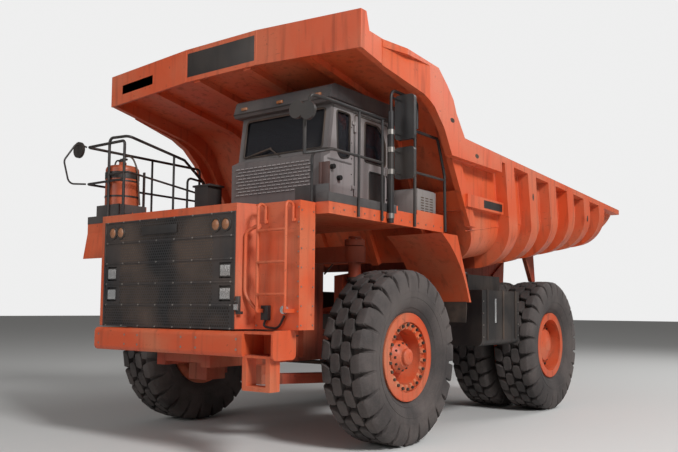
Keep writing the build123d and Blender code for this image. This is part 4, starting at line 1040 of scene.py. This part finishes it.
@dataclass
class Decks(Part):
    """Mirrors, bottle, hoses, boxes, tread plate and flaps on the decks."""

    def dress(self) -> None:
        """Dress both decks."""
        self.bottle()
        self.boxes()
        self.glasses()
        for side in Side:
            node = f"{side.word}_deck"
            low, high = (Vector(v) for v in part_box(node))
            edge = high.x if side is Side.LEFT else low.x
            spots = [((edge + side.value * 0.001, self.axle_y - 1.52 + 0.19 * k, 2.70), (side.value, 0, 0))
                     for k in range(13)]
            bolts(f"{node}_edge_bolts", spots, 0.011, self.body)
            stud = Shape().box((-0.016, -0.004, 0.0), (0.016, 0.004, 0.003))
            x0 = 1.66 if side is Side.LEFT else -2.0
            Repeaters.grid.bake(f"{node}_tread_plate", carrier(stud), ORANGE, "body_paint", self.body,
                                Matrix.Translation(self.at(x0, -1.56, 2.765)), Columns=8, Rows=56,
                                Column_Step=(0.045, 0, 0), Row_Step=(0, 0.042, 0), Stagger=0.5)
            flap = side.value
            Shape().loft([[self.at(flap * 1.17, y, z), self.at(flap * 1.98, y, z),
                           self.at(flap * 1.98, y - 0.014, z), self.at(flap * 1.17, y - 0.014, z)]
                          for y, z in ((1.600, 1.745), (1.615, 1.66), (1.600, 1.56), (1.585, 1.46))]).done(
                f"{node}_rubber_flap", SEAL, "dark_paint", self.body, 0.002)

    def bottle(self) -> None:
        """Bands, guard tubes, hoses and a valve on the extinguisher tank."""
        low, high = (Vector(v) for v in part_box("extinguisher_tank"))
        x, y = (low.x + high.x) / 2, self.axle_y - 1.37
        tray = Shape().box((low.x - 0.003, low.y - 0.003, 2.767), (high.x + 0.003, low.y - 0.0005, 3.011))
        tray.box((high.x + 0.0005, low.y, 2.767), (high.x + 0.003, low.y + 0.44, 3.011))
        tray.box((low.x - 0.003, low.y, 2.767), (low.x - 0.0005, low.y + 0.44, 3.011))
        tray.done("bottle_tray", ROOF_GREY, "dark_paint", self.body)
        bands = Shape()
        for z, tall in ((3.13, 0.012), (3.34, 0.010), (3.42, 0.045)):
            bands.turned([(0.223, z - tall), (0.228, z - tall), (0.228, z + tall), (0.223, z + tall)],
                         (x, y, 0), 40, "Z")
        bands.done("bottle_bands", BLACK, "dark_paint", self.body)
        guard = Shape()
        for dx in (-0.17, 0.17):
            guard.box((x + dx - 0.02, y + 0.225, 3.011), (x + dx + 0.02, y + 0.240, 3.50))
        guard.done("bottle_stays", ROOF_GREY, "dark_paint", self.body)
        hose = Shape().tube([(x, y, 3.61), (x, y, 3.70), (x + 0.16, y + 0.03, 3.70), (x + 0.24, y + 0.06, 3.52),
                             (x + 0.255, y + 0.10, 3.02)], 0.012, 0.09)
        hose.tube([(x - 0.02, y, 3.60), (x - 0.12, y, 3.68), (x - 0.16, y - 0.02, 3.60), (x - 0.12, y, 3.52)],
                  0.011, 0.06)
        hose.done("bottle_hoses", SEAL, "dark_paint", self.body)
        Shape().tube([(x, y, 3.62), (x, y, 3.67)], 0.038, sides=16).tube(
            [(x - 0.09, y, 3.655), (x + 0.09, y, 3.655)], 0.016).done("bottle_valve", BLACK, "dark_paint",
                                                                     self.body, 0.003)

    def boxes(self) -> None:
        """A stay by the step, kick plates, the cabinet behind the cab with its louvres, and the intake lid."""
        box = Shape().box(self.at(1.62, -1.21, 2.766), self.at(1.74, -1.19, 3.29))
        box.box(self.at(1.60, -1.22, 2.766), self.at(1.64, -1.185, 3.29))
        box.done("brown_stay", BROWN, "dark_paint", self.body, 0.004)
        kick = Shape().box(self.at(1.57, -1.588, 2.766), self.at(2.036, -1.575, 2.96))
        kick.box(self.at(2.0505, -1.61, 2.769), self.at(2.0535, -0.30, 2.868))
        kick.box(self.at(1.882, -1.6035, 2.769), self.at(2.05, -1.6005, 2.868))
        kick.done("left_kick_plate", ROOF_GREY, "dark_paint", self.body, 0.002)
        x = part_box("right_deck")[0][0]
        kick = Shape().box((x - 0.0035, self.axle_y - 1.60, 2.769), (x - 0.0005, self.axle_y + 0.85, 2.868))
        kick.box((x, self.axle_y - 1.6035, 2.769), (-1.211, self.axle_y - 1.6005, 2.868))
        kick.done("right_kick_plate", ROOF_GREY, "dark_paint", self.body)
        cabinet = Shape().box(self.at(1.55, 0.34, 2.765), self.at(1.95, 0.80, 3.16))
        cabinet.box(self.at(1.57, 0.36, 3.16), self.at(1.93, 0.78, 3.175))
        cabinet.done("deck_cabinet", DOOR_GREY, "grey_paint", self.body, 0.008)
        # The cabinet's louvre slots are black boxes on its face: painted shade for the openings.
        slot = Shape().box((-0.003, -0.035, -0.006), (0.003, 0.035, 0.006))
        Repeaters.grid.bake("cabinet_louvre_shade", carrier(slot), PAINTED_HOLE_SHADE, "dark_paint", self.body,
                            Matrix.Translation(self.at(1.951, 0.46, 2.86)), Columns=3, Rows=7,
                            Column_Step=(0, 0.11, 0), Row_Step=(0, 0, 0.034), Stagger=0.0)
        low, high = (Vector(v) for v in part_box("intake_box"))
        cap = Shape().box((-0.43, low.y - 0.006, 3.17), (-0.11, low.y + 0.246, 3.196))
        cap.done("intake_lid", BLACK, "dark_paint", self.body, 0.004)

    def glasses(self) -> None:
        """Mirror faces and the clamps on their mast."""
        for index, (z0, z1) in enumerate(((3.65, 4.19), (3.18, 3.56))):
            outline = rounded([self.at(2.16, -0.2495, z0 + 0.02), self.at(2.045, -0.2495, z0 + 0.02),
                               self.at(2.045, -0.2495, z1 - 0.02), self.at(2.275, -0.2495, z1 - 0.02),
                               self.at(2.275, -0.2495, z0 + 0.02), self.at(2.16, -0.2495, z0 + 0.02)],
                              0.04, 4)[:-1]
            Shape().prism(outline, (0, 0.003, 0)).done(f"mirror_face_{index}", MIRROR, "lamp", self.body)
        for index, (x, z, r) in enumerate(((1.89, 3.69, 0.088), (2.04, 3.66, 0.088))):
            spot = self.at(x, -1.9245, z)
            Shape().turned([(0.0005, spot.y + 0.006), (r, spot.y), (r, spot.y - 0.004), (0.0005, spot.y)],
                           (x, 0, z), 32, "Y").done(f"round_mirror_{index}", MIRROR, "lamp", self.body)
        clamps = Shape()
        for z in (3.24, 3.50, 3.71, 2.72):
            clamps.turned([(0.038, z - 0.03), (0.045, z - 0.03), (0.045, z + 0.03), (0.038, z + 0.03)],
                          self.at(2.088, -0.48, 0), 20, "Z")
        clamps.done("mast_clamps", STEEL, "steel_tube", self.body)


@dataclass
class Bed(Part):
    """Welds, blank plates, oval holes and the worn top edge of the rock bed."""

    body: str = "bed"
    slope: float = math.tan(math.radians(8.5))

    def rim(self, y: float) -> float:
        """Height of the bed's top edge."""
        return 3.88 - 0.24 * (y - 0.96) / 6.48

    def weld(self, y: float) -> float:
        """Height of the seam between side and rounded floor edge."""
        return 2.87 + self.slope * (y - 2.44)

    def rib_front(self, rib: int, z: float) -> float:
        """Where a rib's front face is at height z."""
        foot = 2.387 + 0.789 * rib
        return foot - self.slope * (z - (self.weld(foot) - 0.6067))

    def dress(self) -> None:
        """Dress the bed."""
        for side in Side:
            self.flank(side)
        front = self.at(0, -1.2555, 0).y
        Shape().box((-0.60, front, 4.640), (0.60, front + 0.004, 4.955)).done(
            "blank_fascia_plate", BLACK, "dark_paint", self.body, 0.001)
        label = [Vector((x, front + 0.0035, z)) for x, z in ((-1.95, 4.635), (-1.30, 4.673), (-1.30, 4.800),
                                                            (-1.95, 4.762))]
        Shape().prism(label, (0, -0.003, 0)).done("blank_fascia_label", TANK, "dark_paint", self.body)
        weld = Shape()
        for x in (-0.629, 0.629):
            weld.tube([(x, front + 0.003, 4.585), (x, front + 0.003, 5.008)], 0.006, sides=6)
        weld.done("fascia_welds", BED_ORANGE, "body_paint", self.body)
        self.under()

    def flank(self, side: Side) -> None:
        """One side: rib welds, oval holes, blank labels and the worn rail."""
        s, word = side.value, side.word
        welds, holes = Shape(), Shape()
        for rib in range(6):
            for edge in (0.0, 0.3033):
                foot_z = self.weld(2.387 + 0.789 * rib) - 0.05
                top = self.rim(2.2 + 0.789 * rib) - 0.095
                welds.tube([self.at(s * 2.122, self.rib_front(rib, z) + edge, z) for z in (foot_z + 0.02, top)],
                           0.009, sides=6)
        for y0, y1 in ((1.3, 7.05),):
            welds.tube([self.at(s * 2.1215, y, self.weld(y)) for y in (y0, y1)], 0.008, sides=6)
        welds.tube([self.at(s * 2.1995, 0.80, 3.60), self.at(s * 2.1995, 2.06, 3.60)], 0.008, sides=6)
        welds.done(f"bed_welds_{word}", BED_ORANGE, "body_paint", self.body)
        # The oval holes are black ovals laid on the plate: painted shade for the holes.
        for y, z, x in ((1.30, 3.70, 2.3), (0.62, 4.05, 2.3)):
            holes.prism([self.at(s * (x + 0.0005), y + 0.055 * math.cos(a), z + 0.030 * math.sin(a))
                         for a in (math.tau * k / 24 for k in range(24))], (-s * 0.004, 0, 0))
        for rib in (1, 4):
            z = self.rim(2.4 + 0.789 * rib) - 0.42
            y = self.rib_front(rib, z) + 0.15
            holes.prism([self.at(s * 2.3005, y + 0.030 * math.cos(a), z + 0.055 * math.sin(a))
                         for a in (math.tau * k / 24 for k in range(24))], (-s * 0.004, 0, 0))
        holes.done(f"bed_holes_{word}", PAINTED_HOLE_SHADE, "dark_paint", self.body)
        Shape().prism([self.at(s * 2.2405, 1.62, 3.04), self.at(s * 2.2405, 2.20, 3.04),
                       self.at(s * 2.2405, 2.20, 3.15), self.at(s * 2.2405, 1.62, 3.15)],
                      (-s * 0.003, 0, 0)).done(f"bar_label_{word}", TANK, "dark_paint", self.body)
        worn = Shape()
        for y0, y1 in ((0.97, 2.07), (2.08, 7.43)):
            worn.prism([self.at(s * 2.125, y0, self.rim(y0) + 0.001), self.at(s * 2.295, y0, self.rim(y0) + 0.001),
                        self.at(s * 2.295, y1, self.rim(y1) + 0.001), self.at(s * 2.125, y1, self.rim(y1) + 0.001)],
                       (0, 0, 0.003))
        worn.done(f"worn_rail_{word}", IRON, "body_paint", self.body)

    def under(self) -> None:
        """Rubber pads and pivot collars below."""
        pads = Shape()
        for side in Side:
            for y in (2.0, 2.9, 3.9, 4.9):
                z = 1.65 + (y - 1.5) * 0.08977
                x = sorted((side.value * 0.315, side.value * 0.455))
                pads.prism([self.at(x[0], y, z + 0.0065), self.at(x[1], y, z + 0.0065),
                            self.at(x[1], y + 0.3, z + 0.0334), self.at(x[0], y + 0.3, z + 0.0334)],
                           (0, 0, 0.0008))
        pads.done("bed_pads", SEAL, "dark_paint", self.body)
        caps = Shape()
        for side in Side:
            x = side.value * 0.511
            caps.turned([(0.055, x), (0.100, x), (0.100, x + side.value * 0.012), (0.055, x + side.value * 0.012)],
                        self.at(0, 5.78, 1.83), 32)
        caps.done("pivot_collars", IRON, "frame_paint", self.body, 0.002)


@dataclass
class Chassis(Part):
    """Tank straps, hoses, boots and bolts on the frame."""

    def dress(self) -> None:
        """Dress the chassis."""
        straps = Shape()
        for y in (2.10, 2.62, 3.05):
            for x, top in ((2.041, 1.921), ):
                straps.box(self.at(x, y, 1.20), self.at(x + 0.006, y + 0.05, top))
                straps.box(self.at(1.78, y, top), self.at(x, y + 0.05, top + 0.005))
            straps.box(self.at(-1.967, y, 1.16), self.at(-1.961, y + 0.05, 1.921))
            straps.box(self.at(-1.961, y, 1.921), self.at(-1.20, y + 0.05, 1.926))
        straps.done("tank_straps", IRON, "frame_paint", self.body, 0.002)
        caps = Shape()
        for x, y, z in ((1.60, 2.25, 2.15), (1.30, 2.85, 2.15), (-1.50, 2.40, 1.92)):
            caps.turned([(0.0005, z + 0.045), (0.050, z + 0.045), (0.055, z + 0.035), (0.055, z), (0.0005, z)],
                        self.at(x, y, 0), 24, "Z")
        caps.done("tank_caps", BLACK, "dark_paint", self.body, 0.003)
        Shape().box(self.at(2.041, 2.35, 1.45), self.at(2.048, 2.40, 1.80)).done(
            "level_glass", SILVER, "lamp", self.body, 0.003)
        spots = [(self.at(2.041, y, z), (1, 0, 0)) for y in (1.99, 3.16) for z in (1.25, 1.42, 1.59, 1.76)]
        bolts("tank_bolts", spots, 0.012, self.body)
        for side in Side:
            self.strut(side)
        hub = Vector((0, self.axle_y + 4.4, 1.06))
        spots = [(hub + Vector((0.19 * math.cos(a), 0.335, 0.19 * math.sin(a))), (0, 1, 0))
                 for a in (math.tau * k / 14 for k in range(14))]
        cover = Shape().turned([(0.0005, hub.y + 0.345), (0.15, hub.y + 0.342), (0.215, hub.y + 0.325),
                                (0.22, hub.y + 0.24), (0.0005, hub.y + 0.24)], (0, 0, hub.z), 40, "Y")
        cover.done("axle_cover", IRON, "axle_iron", self.body)
        bolts("axle_cover_bolts", spots, 0.014, self.body, IRON, "axle_iron")
        joints = Shape()
        start, end = self.at(0, 1.10, 1.25), self.at(0, 3.955, 1.0753)
        way = (end - start).normalized()
        for d in (0.03, 2.78):
            joints.tube([start + way * d, start + way * (d + 0.05)], 0.10, sides=20)
        joints.done("shaft_joints", IRON, "axle_iron", self.body, 0.004)
        rail = Shape()
        for side in Side:
            x = side.value * 0.461
            rail.tube([self.at(x, -1.6, 1.28), self.at(x, 0.85, 1.28), self.at(x, 1.50, 1.56),
                       self.at(x, 5.0, 1.90)], 0.010, 0.2, 8)
            rail.tube([self.at(x, 1.0, 1.10), self.at(x, 2.60, 1.22), self.at(x, 3.3, 1.54),
                       self.at(x, 4.6, 1.66)], 0.008, 0.2, 8)
        rail.done("frame_pipes", SEAL, "dark_paint", self.body)

    def strut(self, side: Side) -> None:
        """A front strut's boot, collar and hose."""
        s, word = side.value, side.word
        spot = self.at(s * 1.22, 0, 0)
        folds = []
        for k in range(9):
            z = 1.50 + 0.06 * k
            folds += [(0.084, z), (0.106, z + 0.03)]
        folds += [(0.084, 2.04), (0.083, 2.04), (0.083, 1.50)]
        Shape().turned(folds, (spot.x, spot.y, 0), 32, "Z").done(f"strut_boot_{word}", SEAL, "dark_paint", self.body)
        # The strut collar takes the darker orange: painted shade under the fender.
        Shape().turned([(0.083, 2.44), (0.13, 2.44), (0.13, 2.52), (0.083, 2.52)], (spot.x, spot.y, 0), 32,
                       "Z").done(f"strut_collar_{word}", DIRT_AND_SHADE_ORANGE, "frame_paint", self.body, 0.004)
        spots = [((spot.x + 0.115 * math.cos(a), spot.y + 0.115 * math.sin(a), 2.52), (0, 0, 1))
                 for a in (math.tau * k / 8 for k in range(8))]
        bolts(f"strut_bolts_{word}", spots, 0.012, self.body)
        Shape().tube([self.at(s * 1.22, 0.09, 2.50), self.at(s * 1.15, 0.20, 2.52), self.at(s * 0.80, 0.24, 2.35),
                      self.at(s * 0.56, 0.21, 2.10)], 0.012, 0.1, 8).done(
            f"strut_hose_{word}", SEAL, "dark_paint", self.body)


@dataclass
class Hoists(Part):
    """Gland rings on the hoist cylinders."""

    def dress(self) -> None:
        """Dress both cylinders."""
        low = Vector((0, self.axle_y + 3.05, 0.80))
        way = Vector((0, 0.1, 1.45)).normalized()
        for side in Side:
            x = Vector((side.value * 0.6, 0, 0))
            for name, start, end, r, body in (("barrel_gland", 1.262, 1.331, 0.126, "barrel"),
                                              ("stage_gland", 1.345, 1.361, 0.094, "stage")):
                rings = Shape()
                bore = 0.0915 if body == "barrel" else 0.0665
                turn = Vector((0, 0, 1)).rotation_difference(way)
                made = []
                for k in range(32):
                    a = math.tau * k / 32
                    made.append([low + x + turn @ Vector((rr * math.cos(a), rr * math.sin(a), zz))
                                 for rr, zz in ((bore, start), (r, start), (r, end), (bore, end))])
                rings.loft(made, loop=True)
                rings.done(f"{name}_{side.word}", STEEL, "steel_tube", f"hoist_{body}_{side.word}", 0.002)


# ---------------------------------------------------------------- finishes on the frame itself
NODE_FINISH: dict[str, Finish | Pane] = {
    # Frame, suspension and bed underframe take the darker orange: partly dirt, partly painted shade under the truck.
    "frame_rails": DIRT_AND_SHADE_ORANGE, "cross_members": DIRT_AND_SHADE_ORANGE, "front_bumper": ORANGE, "grille": MESH_PLATE,
    "headlamps": SILVER, "front_shroud": ORANGE, "ladder": ORANGE, "left_deck": ORANGE, "right_deck": ORANGE,
    # Cab side walls and door take the lighter grey: painted light on the sunlit side.
    "power_train": TANK, "cab_floor": CAB_GREY, "cab_front": CAB_GREY, "cab_side_walls": LIT_CAB_GREY,
    "cab_rear_wall": CAB_GREY, "cab_roof": ROOF_GREY, "cab_glass": WINDOW, "cab_door": LIT_CAB_GREY,
    "cab_door_glass": WINDOW, "dashboard": TRIM, "seat_base": TRIM, "left_handrails": BLACK,
    "right_handrails": BLACK, "mirrors": BLACK, "extinguisher_tank": RED, "intake_box": BLACK,
    "side_tanks": TANK, "front_suspension": DIRT_AND_SHADE_ORANGE, "knuckle_left": IRON, "knuckle_right": IRON,
    "tie_rod": IRON, "rear_axle": IRON, "rear_suspension": DIRT_AND_SHADE_ORANGE, "front_rim_left": RIM,
    "front_rim_right": RIM, "rear_rims_left": RIM, "rear_rims_right": RIM, "bed_floor": BED_ORANGE,
    "bed_sides": BED_ORANGE, "bed_front_wall": BED_ORANGE, "canopy": BED_ORANGE, "canopy_beams": BED_ORANGE,
    "bed_ribs": BED_ORANGE, "bed_shoulders": BED_ORANGE, "bed_underframe": DIRT_AND_SHADE_ORANGE,
    "hoist_barrel_left": TANK, "hoist_barrel_right": TANK, "hoist_stage_left": STEEL,
    "hoist_stage_right": STEEL, "hoist_rod_left": CHROME, "hoist_rod_right": CHROME,
}


def paint_nodes(frame: dict) -> None:
    """Give every carried-over node its finish."""
    for name, finish in NODE_FINISH.items():
        piece = frame["nodes"][name]
        for slot in piece.material_slots:
            slot.material = finish.material()
        log.info("%s painted with %s", name, finish.name)


# ---------------------------------------------------------------- studio
@dataclass
class Studio:
    """Floor, soft lights and the camera."""

    place: tuple[float, float, float] = (6.967, -10.555, 1.634)
    yaw: float = 36.18
    pitch: float = 3.73
    roll: float = 0.44
    lens: float = 40.4
    shift: tuple[float, float] = (-0.0239, 0.0493)

    def build(self) -> None:
        """Build the studio."""
        self.floor()
        self.light("key", (19.0, -9.0, 15.0), 5.0, 4300.0)
        self.light("front_fill", (-3.0, -20.0, 9.0), 10.0, 700.0)
        self.light("back_rim", (6.0, 15.0, 13.0), 8.0, 1200.0)
        world = bpy.data.worlds.new("studio")
        world.use_nodes = True
        tree = world.node_tree
        graph = Graph(tree)
        soft, pale = tree.nodes["Background"], graph.node("ShaderNodeBackground")
        soft.inputs[0].default_value, soft.inputs[1].default_value = (1.0, 0.985, 0.97, 1), 0.17
        pale.inputs[0].default_value, pale.inputs[1].default_value = (1.0, 1.0, 1.0, 1), 0.86
        seen = graph.node("ShaderNodeLightPath")
        pick = graph.node("ShaderNodeMixShader")
        graph.feed(pick.inputs[0], seen.outputs["Is Camera Ray"])
        graph.feed(pick.inputs[1], soft.outputs[0])
        graph.feed(pick.inputs[2], pale.outputs[0])
        graph.feed(tree.nodes["World Output"].inputs[0], pick.outputs[0])
        bpy.context.scene.world = world
        bpy.context.scene.view_settings.view_transform = "Standard"
        self.camera()

    def floor(self) -> None:
        """A plain pale floor."""
        data = bpy.data.meshes.new("floor")
        reach = 120.0
        data.from_pydata([(-reach, -reach, 0), (reach, -reach, 0), (reach, reach, 0), (-reach, reach, 0)], [],
                         [(0, 1, 2, 3)])
        pale = bpy.data.materials.new("pale_floor")
        pale.use_nodes = True
        pale.node_tree.nodes["Principled BSDF"].inputs["Base Color"].default_value = (0.68, 0.68, 0.67, 1)
        pale.node_tree.nodes["Principled BSDF"].inputs["Roughness"].default_value = 0.9
        data.materials.append(pale)
        floor = bpy.data.objects.new("floor", data)
        bpy.context.scene.collection.objects.link(floor)

    def light(self, name: str, place: Point, size: float, power: float) -> None:
        """A soft square lamp that faces the truck."""
        data = bpy.data.lights.new(name, "AREA")
        data.size, data.energy = size, power
        lamp = bpy.data.objects.new(name, data)
        lamp.location = place
        lamp.rotation_euler = (Vector((0, 0, 2)) - Vector(place)).to_track_quat("-Z", "Y").to_euler()
        bpy.context.scene.collection.objects.link(lamp)

    def camera(self) -> None:
        """The camera, low in front of the truck's left corner."""
        yaw, pitch, roll = (math.radians(v) for v in (self.yaw, self.pitch, self.roll))
        ahead = Vector((-math.sin(yaw) * math.cos(pitch), math.cos(yaw) * math.cos(pitch), math.sin(pitch)))
        right = Vector((math.cos(yaw), math.sin(yaw), 0))
        up = right.cross(ahead)
        right, up = right * math.cos(roll) + up * math.sin(roll), up * math.cos(roll) - right * math.sin(roll)
        data = bpy.data.cameras.new("camera")
        data.lens, data.sensor_width = self.lens, 36.0
        data.shift_x, data.shift_y = self.shift
        camera = bpy.data.objects.new("camera", data)
        turn = Matrix((right, up, -ahead)).transposed()
        camera.matrix_world = Matrix.Translation(self.place) @ turn.to_4x4()
        bpy.context.scene.collection.objects.link(camera)
        bpy.context.scene.camera = camera


def main() -> None:
    """Load the frame, dress it and build the studio."""
    logging.basicConfig(level=logging.INFO, format="%(name)s: %(message)s")
    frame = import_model()
    Groups.build()
    Repeaters.build()
    paint_nodes(frame)
    low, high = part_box("front_tyre_left")
    axle_y = (low[1] + high[1]) / 2
    for part in (Wheels(axle_y), Nose(axle_y), Cab(axle_y), Decks(axle_y), Bed(axle_y), Chassis(axle_y),
                 Hoists(axle_y)):
        part.dress()
    Studio().build()


if __name__ == "__main__":
    main()
